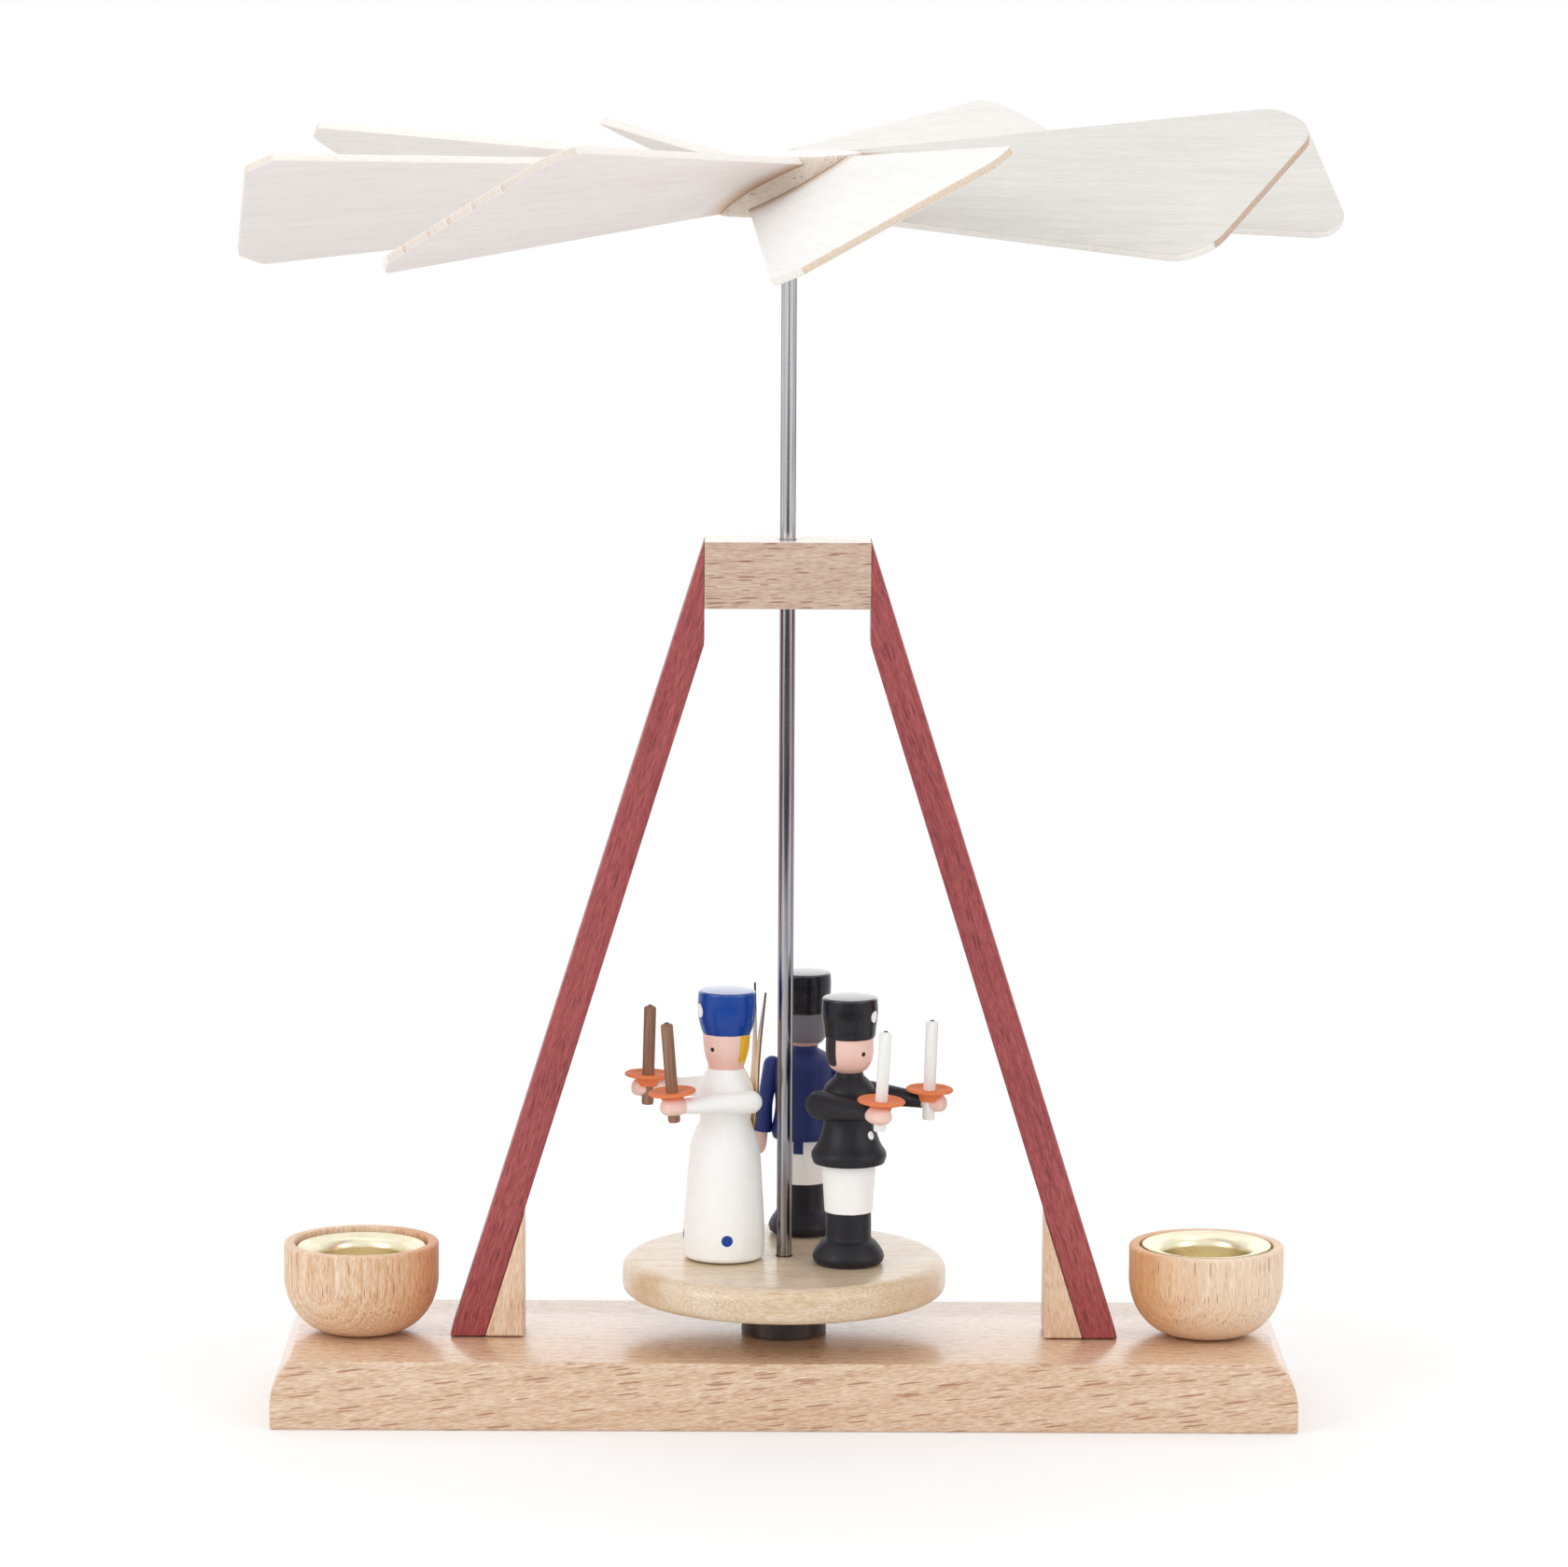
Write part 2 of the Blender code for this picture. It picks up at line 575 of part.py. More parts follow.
def arm_profile(length, hand_radius, sleeve_radius, wrist_radius):
    """A carved arm along Z: a round shoulder at 0, a tapering sleeve and a hand at the end."""
    hand_end = length + FIST_LENGTH / 2
    hand_start = length - FIST_LENGTH / 2
    hand_round = FIST_LENGTH * 0.3
    hand = arc((0.0, hand_end - hand_round), (hand_radius, hand_round), 90.0, 0.0)
    hand += [(hand_radius, hand_start + FIST_LENGTH * 0.2), (wrist_radius, hand_start)]
    return hand + arc((0.0, 0.0), sleeve_radius, 0.0, -90.0)


def shoulder_offset(chest_radius):
    """From the figure's axis out to the arm's axis at the shoulder."""
    return chest_radius - ARM_SEAT_DEPTH + SEAT_GAP + SLEEVE_RADIUS - ARM_FLAT_DEPTH


def cut_arm_seat(name, body, arm, chest_radius, low_z, high_z, figure):
    """Cut a flat on the chest for one arm."""
    seat_y = chest_radius - ARM_SEAT_DEPTH
    reach = chest_radius * 2
    low_y, high_y = sorted((arm.sign * seat_y, arm.sign * reach))
    seat = box("%s_arm_seat_%s" % (name, arm.side), (-reach, low_y, low_z), (reach, high_y, high_z),
               None, parent=figure)
    cut(body, seat)


def trim_arm(name, piece, arm, chest_radius, figure):
    """Cut the arm's round flat where it meets the chest."""
    flat_y = chest_radius - ARM_SEAT_DEPTH + SEAT_GAP
    reach = chest_radius * 2
    low_y, high_y = sorted((-arm.sign * reach, arm.sign * flat_y))
    trim = box("%s_arm_trim_%s" % (name, arm.side), (-reach, low_y, 0.0), (reach, high_y, MINER_HEIGHT),
               None, parent=figure)
    cut(piece, trim)


def grip_profile():
    """What the candle, the cone and the plate take out of the fist, with clearance."""
    cone_end = SOCKET_RADIUS + SOCKET_FLARE + SEAT_GAP
    cone_z = PLATE_HEIGHT - SOCKET_DEPTH - SEAT_GAP
    plate_z = PLATE_HEIGHT - SEAT_GAP
    above = FIST_RADIUS * 2
    return [(0.0, above), (PLATE_RADIUS, above), (PLATE_RADIUS, plate_z), (cone_end, plate_z),
            (SOCKET_RADIUS + SEAT_GAP, cone_z), (CANDLE_BORE_RADIUS, cone_z), (CANDLE_BORE_RADIUS, -above),
            (0.0, -above)]


def plate_profile():
    """A drip plate with a turned-up rim and a cone below that sits in the fist."""
    top_z = PLATE_HEIGHT + PLATE_THICKNESS
    rim_z = top_z + PLATE_DISH
    return [(CANDLE_BORE_RADIUS, top_z), (PLATE_RADIUS * 0.65, top_z), (PLATE_RADIUS, rim_z),
            (PLATE_RADIUS, rim_z - PLATE_THICKNESS), (SOCKET_RADIUS + SOCKET_FLARE, PLATE_HEIGHT),
            (SOCKET_RADIUS, PLATE_HEIGHT - SOCKET_DEPTH), (CANDLE_BORE_RADIUS, PLATE_HEIGHT - SOCKET_DEPTH)]


def paint_hand(piece, hand_start):
    """The hand's faces get the skin paint."""
    piece.data.materials.append(SKIN_PAINT)
    for face in piece.data.polygons:
        if face.center.z > hand_start + SEAT_GAP:
            face.material_index = 1


def make_carrying_arm(name, body, arm, chest_radius, arm_z, sleeve, candle_material, figure):
    """An arm held forward, with a candle and its drip plate in the carved fist."""
    offset = arm.sign * shoulder_offset(chest_radius)
    shoulder = Vector((-SHOULDER_BACK, offset, arm_z + arm.shoulder_rise))
    fist = Vector((arm.forward + FIST_BEYOND, arm.sign * (arm.out + GRIP_OFFSET), arm_z + arm.rise))
    reach = fist - shoulder
    yaw = math.atan2(reach.y, reach.x)
    tilt = math.acos(reach.z / reach.length)
    mount = make_empty("%s_shoulder_%s" % (name, arm.side), shoulder, (0.0, tilt, yaw), figure)
    piece = turned("%s_arm_%s" % (name, arm.side),
                   arm_profile(reach.length, FIST_RADIUS, SLEEVE_RADIUS, WRIST_RADIUS),
                   sleeve, steps=SMALL_STEPS, parent=mount)
    paint_hand(piece, reach.length - FIST_LENGTH / 2)
    seat_z = shoulder.z
    cut_arm_seat(name, body, arm, chest_radius, seat_z - SLEEVE_RADIUS - SEAT_GAP,
                 seat_z + SLEEVE_RADIUS + SEAT_GAP, figure)
    trim_arm(name, piece, arm, chest_radius, figure)
    grip = make_empty("%s_grip_%s" % (name, arm.side), (arm.forward, arm.sign * arm.out, fist.z),
                      (0.0, arm.lean, 0.0), figure)
    cut(piece, turned("%s_grip_cut_%s" % (name, arm.side), grip_profile(), None,
                      steps=SMALL_STEPS, parent=grip))
    turned("%s_drip_plate_%s" % (name, arm.side), plate_profile(), ORANGE_PAINT,
           steps=PLATE_STEPS, closed=True, parent=grip)
    candle_bottom = -FIST_RADIUS - CANDLE_BELOW_FIST
    rod("%s_candle_%s" % (name, arm.side), CANDLE_RADIUS, candle_bottom, candle_bottom + CANDLE_LENGTH,
        candle_material, parent=grip)


def hat_profile(top_z, brim_z, hat_radius, brim_radius):
    """A tall hat with a softly domed top that narrows towards the brow."""
    height = top_z - brim_z
    return [(0.0, top_z), (hat_radius * 0.55, top_z - height * 0.03),
            (hat_radius * 0.87, top_z - height * 0.09), (hat_radius * 0.97, top_z - height * 0.19),
            (hat_radius, top_z - height * 0.36), (hat_radius * 0.96, top_z - height * 0.62),
            (brim_radius, brim_z)]


# Angel

ANGEL_PLACE = (-12.0 * MM, -1.8 * MM)
ANGEL_FACING = math.radians(200.0)
ANGEL_LEAN_BACK = math.radians(0.6)
ANGEL_HEM_RADIUS = 8.05 * MM
ANGEL_HEM_HEIGHT = 1.2 * MM
ANGEL_HEM_EDGE = 0.35 * MM
ANGEL_HIP_RADIUS = 6.6 * MM
ANGEL_HIP_Z = 21.6 * MM
ANGEL_WAIST_RADIUS = 5.05 * MM
ANGEL_WAIST_Z = 27.7 * MM
ANGEL_CHEST_RADIUS = 5.9 * MM
ANGEL_ARM_Z = 32.0 * MM
ANGEL_COLLAR_Z = 37.9 * MM
ANGEL_COLLAR_STEP = 0.15 * MM        # the robe's collar past the chin
ANGEL_CHIN_RADIUS = 3.4 * MM
ANGEL_HEAD_RADIUS = 4.65 * MM
ANGEL_HAT_STEP = 0.25 * MM           # the hat's lower edge past the head
ANGEL_HAT_Z = 44.8 * MM
ANGEL_HAT_RADIUS = 5.75 * MM
ANGEL_HEIGHT = 53.8 * MM
ANGEL_ARMS = (Arm("left", 13.6 * MM, 7.6 * MM, lean=5.5),
              Arm("right", 13.6 * MM, 7.6 * MM, rise=0.8 * MM, shoulder_rise=0.8 * MM, lean=-0.9))
WING_THICKNESS = 1.0 * MM
WING_SEAT_DEPTH = 1.2 * MM
WING_LEAN = math.radians(1.0)
WING_SPAN = 12.2 * MM
WING_WAIST = 5.2 * MM
WING_LOBE_SPAN = 8.4 * MM
WING_TOP_Z = 53.6 * MM
WING_LOW_Z = 24.8 * MM


def angel_profile():
    brim_radius = ANGEL_HEAD_RADIUS + ANGEL_HAT_STEP
    hat = hat_profile(ANGEL_HEIGHT, ANGEL_HAT_Z, ANGEL_HAT_RADIUS, brim_radius)
    head_height = ANGEL_HAT_Z - ANGEL_COLLAR_Z
    head = [(ANGEL_HEAD_RADIUS, ANGEL_HAT_Z),
            (ANGEL_HEAD_RADIUS * 0.985, ANGEL_HAT_Z - head_height * 0.25),
            (ANGEL_HEAD_RADIUS * 0.93, ANGEL_COLLAR_Z + head_height * 0.45),
            (ANGEL_CHIN_RADIUS, ANGEL_COLLAR_Z)]
    neck_drop = ANGEL_COLLAR_Z - ANGEL_ARM_Z
    flare = ANGEL_HEM_RADIUS - ANGEL_HIP_RADIUS
    robe = [(ANGEL_CHIN_RADIUS + ANGEL_COLLAR_STEP, ANGEL_COLLAR_Z),
            (ANGEL_CHEST_RADIUS * 0.82, ANGEL_COLLAR_Z - neck_drop * 0.24),
            (ANGEL_CHEST_RADIUS * 0.96, ANGEL_COLLAR_Z - neck_drop * 0.47),
            (ANGEL_CHEST_RADIUS, ANGEL_ARM_Z + neck_drop * 0.2),
            (ANGEL_CHEST_RADIUS * 0.97, ANGEL_ARM_Z - neck_drop * 0.25),
            (ANGEL_WAIST_RADIUS, ANGEL_WAIST_Z),
            (ANGEL_WAIST_RADIUS * 0.45 + ANGEL_HIP_RADIUS * 0.55,
             ANGEL_WAIST_Z * 0.55 + ANGEL_HIP_Z * 0.45),
            (ANGEL_HIP_RADIUS, ANGEL_HIP_Z),
            (ANGEL_HIP_RADIUS + flare * 0.48, ANGEL_HIP_Z * 0.58),
            (ANGEL_HEM_RADIUS, ANGEL_HEM_HEIGHT)]
    foot = [(ANGEL_HEM_RADIUS - ANGEL_HEM_EDGE, 0.0), (0.0, 0.0)]
    return hat + head + robe + foot


def wing_outline():
    """Both wings in one flat outline: X across, Y up."""
    span, waist, lobe = WING_SPAN / 2, WING_WAIST / 2, WING_LOBE_SPAN / 2
    height = WING_TOP_Z - WING_LOW_Z
    shape = [(0.0, 0.12), (lobe * 0.52, 0.0), (lobe * 0.82, 0.06), (lobe, 0.19), (lobe * 0.84, 0.32),
             (waist, 0.46), (waist * 1.3, 0.61), (span * 0.84, 0.77), (span, 0.93), (span * 0.96, 1.0)]
    notch = [(span * 0.96, 1.0), (span * 0.42, 0.75), (0.0, 0.53)]
    half = smooth_curve([(x, WING_LOW_Z + height * share) for x, share in shape])
    half += smooth_curve([(x, WING_LOW_Z + height * share) for x, share in notch])[1:]
    mirrored = [(-x, z) for x, z in reversed(half)]
    return half + mirrored[1:-1]


def make_wings(body, figure):
    wing_x = ANGEL_CHEST_RADIUS - WING_SEAT_DEPTH + SEAT_GAP + WING_THICKNESS / 2
    mount = make_empty("wing_mount", (-wing_x, 0.0, ANGEL_ARM_Z), (0.0, -WING_LEAN, 0.0), figure)
    outline = [(y, z - ANGEL_ARM_Z) for y, z in wing_outline()]
    cut_from_outline("angel_wings", outline, WING_THICKNESS, WING_WOOD, parent=mount,
                     rotation=(0.0, 0.0, math.pi / 2))
    seat = box("wing_seat", (-WING_SPAN, -WING_SPAN, WING_LOW_Z - ANGEL_ARM_Z - SEAT_GAP),
               (WING_THICKNESS / 2 + SEAT_GAP, WING_SPAN, ANGEL_HAT_Z - ANGEL_ARM_Z), None, parent=mount)
    cut(body, seat)


def make_angel(rotor):
    figure = make_empty("angel", (*ANGEL_PLACE, FIGURE_Z), (0.0, -ANGEL_LEAN_BACK, ANGEL_FACING), rotor)
    body = turned("angel_body", angel_profile(), WHITE_PAINT, parent=figure)
    paint_by_height(body, [(ANGEL_HAT_Z, BLUE_PAINT), (ANGEL_COLLAR_Z, SKIN_PAINT), (-MM, WHITE_PAINT)])
    for arm in ANGEL_ARMS:
        make_carrying_arm("angel", body, arm, ANGEL_CHEST_RADIUS, ANGEL_ARM_Z, WHITE_PAINT,
                          BROWN_WOOD, figure)
    make_wings(body, figure)


# Miners

MINER_HAT_STEP = 0.12 * MM           # the hat's lower edge past the head
MINER_HEAD_STEP = 0.05 * MM          # how much the head narrows under the hat
MINER_HEM_TUCK = 0.3 * MM            # height of the coat's eased lower edge
MINER_BOOT_STEP = 0.25 * MM          # the trousers' lower end past the boots
MINER_FOOT_RADIUS = 7.1 * MM
MINER_FOOT_HEIGHT = 4.6 * MM
MINER_BOOT_RADIUS = 4.45 * MM
MINER_BOOT_Z = 10.2 * MM
MINER_HEAD_RADIUS = 4.7 * MM
MINER_NECK_RADIUS = 2.7 * MM
MINER_NECK_Z = 38.2 * MM
MINER_HAT_Z = 44.9 * MM
MINER_HEIGHT = 53.4 * MM
MINER_ARM_Z = 32.0 * MM

BLACK_MINER_PLACE = (12.6 * MM, -6.3 * MM)
BLACK_MINER_FACING = math.radians(-36.0)
BLACK_MINER_HAT_RADIUS = 5.55 * MM
BLACK_MINER_CHEST_RADIUS = 5.2 * MM
BLACK_MINER_WAIST_RADIUS = 5.1 * MM
BLACK_MINER_WAIST_Z = 27.6 * MM
BLACK_MINER_HEM_RADIUS = 7.4 * MM
BLACK_MINER_HEM_Z = 19.7 * MM
BLACK_MINER_TROUSER_RADIUS = 5.3 * MM
BLACK_MINER_ARMS = (Arm("right", 13.3 * MM, 8.4 * MM, lean=3.9),
                    Arm("left", 13.0 * MM, 8.7 * MM, rise=-0.4 * MM, shoulder_rise=1.1 * MM, lean=2.1))

BLUE_MINER_EDGE_GAP = 9.7 * MM       # from the turntable's edge in to the figure's axis
BLUE_MINER_PLACE = (4.0 * MM, TABLE_RADIUS - BLUE_MINER_EDGE_GAP)
BLUE_MINER_FACING = math.radians(88.0)
BLUE_MINER_HAT_RADIUS = 5.3 * MM
BLUE_MINER_CHEST_RADIUS = 5.4 * MM
BLUE_MINER_WAIST_RADIUS = 4.9 * MM
BLUE_MINER_WAIST_Z = 26.0 * MM
BLUE_MINER_HEM_RADIUS = 5.7 * MM
BLUE_MINER_HEM_Z = 19.0 * MM
BLUE_MINER_TROUSER_RADIUS = 4.8 * MM
BLUE_MINER_SLEEVE_RADIUS = 1.8 * MM
BLUE_MINER_HAND_RADIUS = 1.3 * MM
BLUE_MINER_SHOULDER_Z = 33.9 * MM
BLUE_MINER_ARM_LENGTH = 16.0 * MM
BLUE_MINER_ARM_SPLAY = math.radians(7.0)
BLUE_MINER_ARM_FLAT = 0.3 * MM


def miner_profile(hat_radius, chest_radius, waist_radius, waist_z, hem_radius, hem_z,
                  trouser_radius):
    """Hat, head, coat, trousers and boots of one turned miner."""
    hat = hat_profile(MINER_HEIGHT, MINER_HAT_Z, hat_radius, MINER_HEAD_RADIUS + MINER_HAT_STEP)
    head_height = MINER_HAT_Z - MINER_NECK_Z
    head = [(MINER_HEAD_RADIUS - MINER_HEAD_STEP, MINER_HAT_Z),
            (MINER_HEAD_RADIUS, MINER_HAT_Z - head_height * 0.4),
            (MINER_HEAD_RADIUS * 0.92, MINER_NECK_Z + head_height * 0.3),
            (MINER_HEAD_RADIUS * 0.75, MINER_NECK_Z + head_height * 0.1),
            (MINER_NECK_RADIUS, MINER_NECK_Z)]
    neck_drop = MINER_NECK_Z - MINER_ARM_Z
    flare = waist_z - hem_z
    coat = [(MINER_NECK_RADIUS, MINER_NECK_Z - neck_drop * 0.12),
            (chest_radius * 0.72, MINER_NECK_Z - neck_drop * 0.3),
            (chest_radius * 0.93, MINER_NECK_Z - neck_drop * 0.5),
            (chest_radius, MINER_NECK_Z - neck_drop * 0.75),
            (chest_radius, MINER_ARM_Z - neck_drop * 0.2),
            (waist_radius, waist_z),
            (waist_radius + (hem_radius - waist_radius) * 0.45, waist_z - flare * 0.45),
            (hem_radius, hem_z + flare * 0.27),
            (hem_radius * 0.95, hem_z + MINER_HEM_TUCK)]
    trousers = [(trouser_radius, hem_z), (MINER_BOOT_RADIUS + MINER_BOOT_STEP, MINER_BOOT_Z)]
    boots = [(MINER_BOOT_RADIUS, MINER_BOOT_Z), (MINER_BOOT_RADIUS, MINER_FOOT_HEIGHT)]
    foot = [(MINER_FOOT_RADIUS * 0.78, MINER_FOOT_HEIGHT * 0.76),
            (MINER_FOOT_RADIUS * 0.97, MINER_FOOT_HEIGHT * 0.46),
            (MINER_FOOT_RADIUS, MINER_FOOT_HEIGHT * 0.24), (MINER_FOOT_RADIUS * 0.9, 0.0)]
    return hat + head + coat + trousers + boots + foot + [(0.0, 0.0)]


def make_black_miner(rotor):
    figure = make_empty("black_miner", (*BLACK_MINER_PLACE, FIGURE_Z),
                        (0.0, 0.0, BLACK_MINER_FACING), rotor)
    profile = miner_profile(BLACK_MINER_HAT_RADIUS, BLACK_MINER_CHEST_RADIUS, BLACK_MINER_WAIST_RADIUS,
                            BLACK_MINER_WAIST_Z, BLACK_MINER_HEM_RADIUS, BLACK_MINER_HEM_Z,
                            BLACK_MINER_TROUSER_RADIUS)
    body = turned("miner_body", profile, BLACK_PAINT, parent=figure)
    paint_by_height(body, [(MINER_HAT_Z, BLACK_PAINT), (MINER_NECK_Z, SKIN_PAINT),
                           (BLACK_MINER_HEM_Z, BLACK_PAINT), (MINER_BOOT_Z, WHITE_PAINT),
                           (-MM, BLACK_PAINT)])
    for arm in BLACK_MINER_ARMS:
        make_carrying_arm("miner", body, arm, BLACK_MINER_CHEST_RADIUS, MINER_ARM_Z, BLACK_PAINT,
                          CANDLE_WHITE, figure)


def make_hanging_arm(name, body, side, chest_radius, sleeve, figure):
    """An arm that hangs at the figure's side."""
    sign = 1.0 if side == "left" else -1.0
    offset = (chest_radius - ARM_SEAT_DEPTH + SEAT_GAP
              + BLUE_MINER_SLEEVE_RADIUS - BLUE_MINER_ARM_FLAT)
    shoulder = make_empty("%s_shoulder_%s" % (name, side), (0.0, sign * offset, BLUE_MINER_SHOULDER_Z),
                          (math.pi + sign * BLUE_MINER_ARM_SPLAY, 0.0, 0.0), figure)
    piece = turned("%s_arm_%s" % (name, side),
                   arm_profile(BLUE_MINER_ARM_LENGTH, BLUE_MINER_HAND_RADIUS, BLUE_MINER_SLEEVE_RADIUS,
                               BLUE_MINER_SLEEVE_RADIUS),
                   sleeve, steps=SMALL_STEPS, parent=shoulder)
    paint_hand(piece, BLUE_MINER_ARM_LENGTH - FIST_LENGTH / 2)
    arm = Arm(side, 0.0, 0.0)
    cut_arm_seat(name, body, arm, chest_radius, BLUE_MINER_WAIST_Z, MINER_NECK_Z, figure)
    trim_arm(name, piece, arm, chest_radius, figure)


def make_blue_miner(rotor):
    figure = make_empty("blue_miner", (*BLUE_MINER_PLACE, FIGURE_Z), (0.0, 0.0, BLUE_MINER_FACING),
                        rotor)
    profile = miner_profile(BLUE_MINER_HAT_RADIUS, BLUE_MINER_CHEST_RADIUS, BLUE_MINER_WAIST_RADIUS,
                            BLUE_MINER_WAIST_Z, BLUE_MINER_HEM_RADIUS, BLUE_MINER_HEM_Z,
                            BLUE_MINER_TROUSER_RADIUS)
    body = turned("bandsman_body", profile, NAVY_PAINT, parent=figure)
    paint_by_height(body, [(MINER_HAT_Z, BLACK_PAINT), (MINER_NECK_Z, GREY_PAINT),
                           (BLUE_MINER_HEM_Z, NAVY_PAINT), (MINER_BOOT_Z, WHITE_PAINT),
                           (-MM, BLACK_PAINT)])
    for side in ("left", "right"):
        make_hanging_arm("bandsman", body, side, BLUE_MINER_CHEST_RADIUS, NAVY_PAINT, figure)


def main():
    make_board()
    make_struts()
    make_wedges()
    make_crossbeam()
    make_bearing()
    make_bowls()
    rotor = make_empty("rotor_axis", (0.0, 0.0, 0.0))
    make_shaft(rotor)
    make_turntable(rotor)
    make_wheel(rotor)
    make_angel(rotor)
    make_black_miner(rotor)
    make_blue_miner(rotor)
    bpy.context.view_layer.update()


main()
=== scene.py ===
"""The looks of the candle pyramid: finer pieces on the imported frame, materials, light and camera.

Lengths are in millimetres until a mesh is written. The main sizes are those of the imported
model, and some small forms are finer here. Each piece has its own local frame, in which its
material is laid out.
"""

import math

import bmesh
import bpy
from mathutils import Euler, Matrix, Vector


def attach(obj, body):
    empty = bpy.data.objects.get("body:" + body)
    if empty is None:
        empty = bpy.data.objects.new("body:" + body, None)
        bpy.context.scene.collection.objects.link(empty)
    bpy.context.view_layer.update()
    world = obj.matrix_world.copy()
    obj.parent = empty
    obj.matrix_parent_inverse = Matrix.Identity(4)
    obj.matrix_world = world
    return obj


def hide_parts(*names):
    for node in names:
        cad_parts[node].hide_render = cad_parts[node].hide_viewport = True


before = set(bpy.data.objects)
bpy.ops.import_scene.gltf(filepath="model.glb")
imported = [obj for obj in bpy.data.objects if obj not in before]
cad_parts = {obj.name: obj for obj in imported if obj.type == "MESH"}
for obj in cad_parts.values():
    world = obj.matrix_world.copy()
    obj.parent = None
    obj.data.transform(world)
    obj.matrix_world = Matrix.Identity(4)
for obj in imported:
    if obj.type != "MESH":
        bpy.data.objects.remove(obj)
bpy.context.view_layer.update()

MM = 0.001
SIDES = {"left": -1.0, "right": 1.0}

# Base board and frame
BOARD_LENGTH = 200.0
BOARD_DEPTH = 55.0
BOARD_HEIGHT = 13.6
BOARD_END_ROUND = (3.5, 9.0)
BOARD_EASE = 0.5
SEAT_Z = 13.9
SEAT_GAP = 0.3
GLUE_LINE = 0.05
FRAME_DEPTH = 12.6
FRAME_EASE = 0.3
STRUT_THICKNESS = 6.5
STRUT_FOOT_X = 65.9
STRUT_TAPER = 1.6
WEDGE_INNER_X = 51.4
BEAM_LENGTH = 32.4
BEAM_HEIGHT = 13.0
BEAM_TOP_Z = 171.5

# Shaft, bearing block and turntable
SHAFT_RADIUS = 1.5
SHAFT_HOLE_RADIUS = 1.8
SHAFT_TIP_Z = 18.1
SHAFT_TOP_Z = 242.5
SHAFT_POINT = (3.0, 0.25)
SHAFT_CHAMFER = 0.2
BLOCK_RADIUS = 8.4
BLOCK_TOP_Z = 21.0
BLOCK_EASE = 0.6
CUP_RADIUS = 4.0
CUP_POCKET_DEPTH = 4.9
TABLE_RADIUS = 32.0
TABLE_BOTTOM_Z = 22.0
TABLE_TOP_Z = 29.0
TABLE_TOP_ROUND = 2.6
TABLE_UNDER_ROUND = 2.0

# Wheel
HUB_RADIUS = 14.0
HUB_HEIGHT = 11.5
HUB_CENTRE_Z = 240.6
HUB_EASE = 0.6
HUB_BORE_END = 2.25
SLOT_ROOM = 0.06
SLOT_BEYOND = 3.0
WHEEL_LEAN = (math.radians(0.6), math.radians(-1.6))
BLADE_TIP_RADIUS = 106.0
BLADE_ROOT_RADIUS = 8.8
BLADE_TIP_CHORD = 50.8
BLADE_ROOT_CHORD = 21.0
BLADE_CLIP = (5.0, 5.8)
BLADE_THICKNESS = 1.5
BLADE_EASE = 0.12
BLADE_PITCH = math.radians(26.8)
FIRST_BLADE_TURN = math.radians(-80.5)
TORN_BLADE = 7
TORN_PLACES = (-0.78, -0.46, -0.2, 0.12, 0.5)
TORN_DEPTH = 0.5
TORN_WIDTHS = (0.15, 0.75)
# Blade tip colours are painted light and shade: the pale tip stands for end grain washed out by light.
TIP_COLOUR = ("f6efe6", "e8dccc")

# Each blade: its own turn and rise in degrees, its corners' rounding, and its pale and deep colour, lighter
# or darker from blade to blade as painted light and shade
BLADES = (
    (0.6, -0.5, 1.6, "faf9f7", "edebe8"),
    (0.5, -0.1, 4.4, "ebe7e3", "d4d1ca"),
    (-1.1, -0.5, 3.0, "ece8e4", "d6d3cc"),
    (0.1, -0.1, 3.6, "f9f6f2", "e8e3dd"),
    (0.3, -1.2, 2.0, "f6f2ee", "e6ddd6"),
    (-1.4, 0.3, 1.6, "fcf9f5", "ece6df"),
    (-0.9, -1.1, 1.2, "fffdfb", "f3ebe6"),
    (1.6, 0.5, 1.6, "fffcfa", "f4e9e4"),
)
# Some blades' own tip colours, lighter or darker as painted light and shade.
OTHER_TIP_COLOURS = {0: ("f0e2d2", "ddc5ab"), 1: ("e3cdbb", "bd9a83"), 7: ("f2e9e0", "e4d6ca")}

# Candle bowls and inserts
BOWL_X = 83.7
BOWL_RADIUS = 15.3
BOWL_HEIGHT = 17.8
BOWL_FOOT_RADIUS = 7.5
BOWL_STRAIGHT_HEIGHT = 6.6
BOWL_CURVE_END = math.radians(79.0)
BOWL_RIM_WIDTH = 2.0
BOWL_RIM_INNER_ROUND = 0.35
BOWL_RIM_OUTER_ROUND = 0.6
INSERT_SEAT_DEPTHS = {"left": 2.3, "right": 1.3}
INSERT_WALL = 0.5
INSERT_HOLE_RADIUS = 8.75
INSERT_DEPTH = 9.5
INSERT_LIP_ROUND = 2.0
INSERT_FLOOR_ROUND = (1.2, 1.4)
FLANGE_RADIUS = 12.7

# Arms, plates and candles of the figures
FIGURE_Z = 29.3
SHOULDER_Z = 32.0
SLEEVE_RADIUS = 2.25
WRIST_RADIUS = 1.8
HAND_RADIUS = 2.15
FIST_LENGTH = 4.6
FIST_FLAT = 0.34
FIST_BEYOND = 0.6
GRIP_OFFSET = 1.2
SHOULDER_BACK = 2.8
ARM_SEAT_DEPTH = 1.0
ARM_FLAT_DEPTH = 0.7
PLATE_RADIUS = 4.65
PLATE_THICKNESS = 0.7
PLATE_RIM_ROUND = 0.33
PLATE_DISH = 0.4
PLATE_HEIGHT = 2.3
SOCKET_RADIUS = 1.85
SOCKET_FLARE = 0.7
SOCKET_DEPTH = 1.5
CANDLE_RADIUS = 1.2
CANDLE_BOTTOM = -2.95
CANDLE_TOP = 16.95
CANDLE_ROOM = 0.02

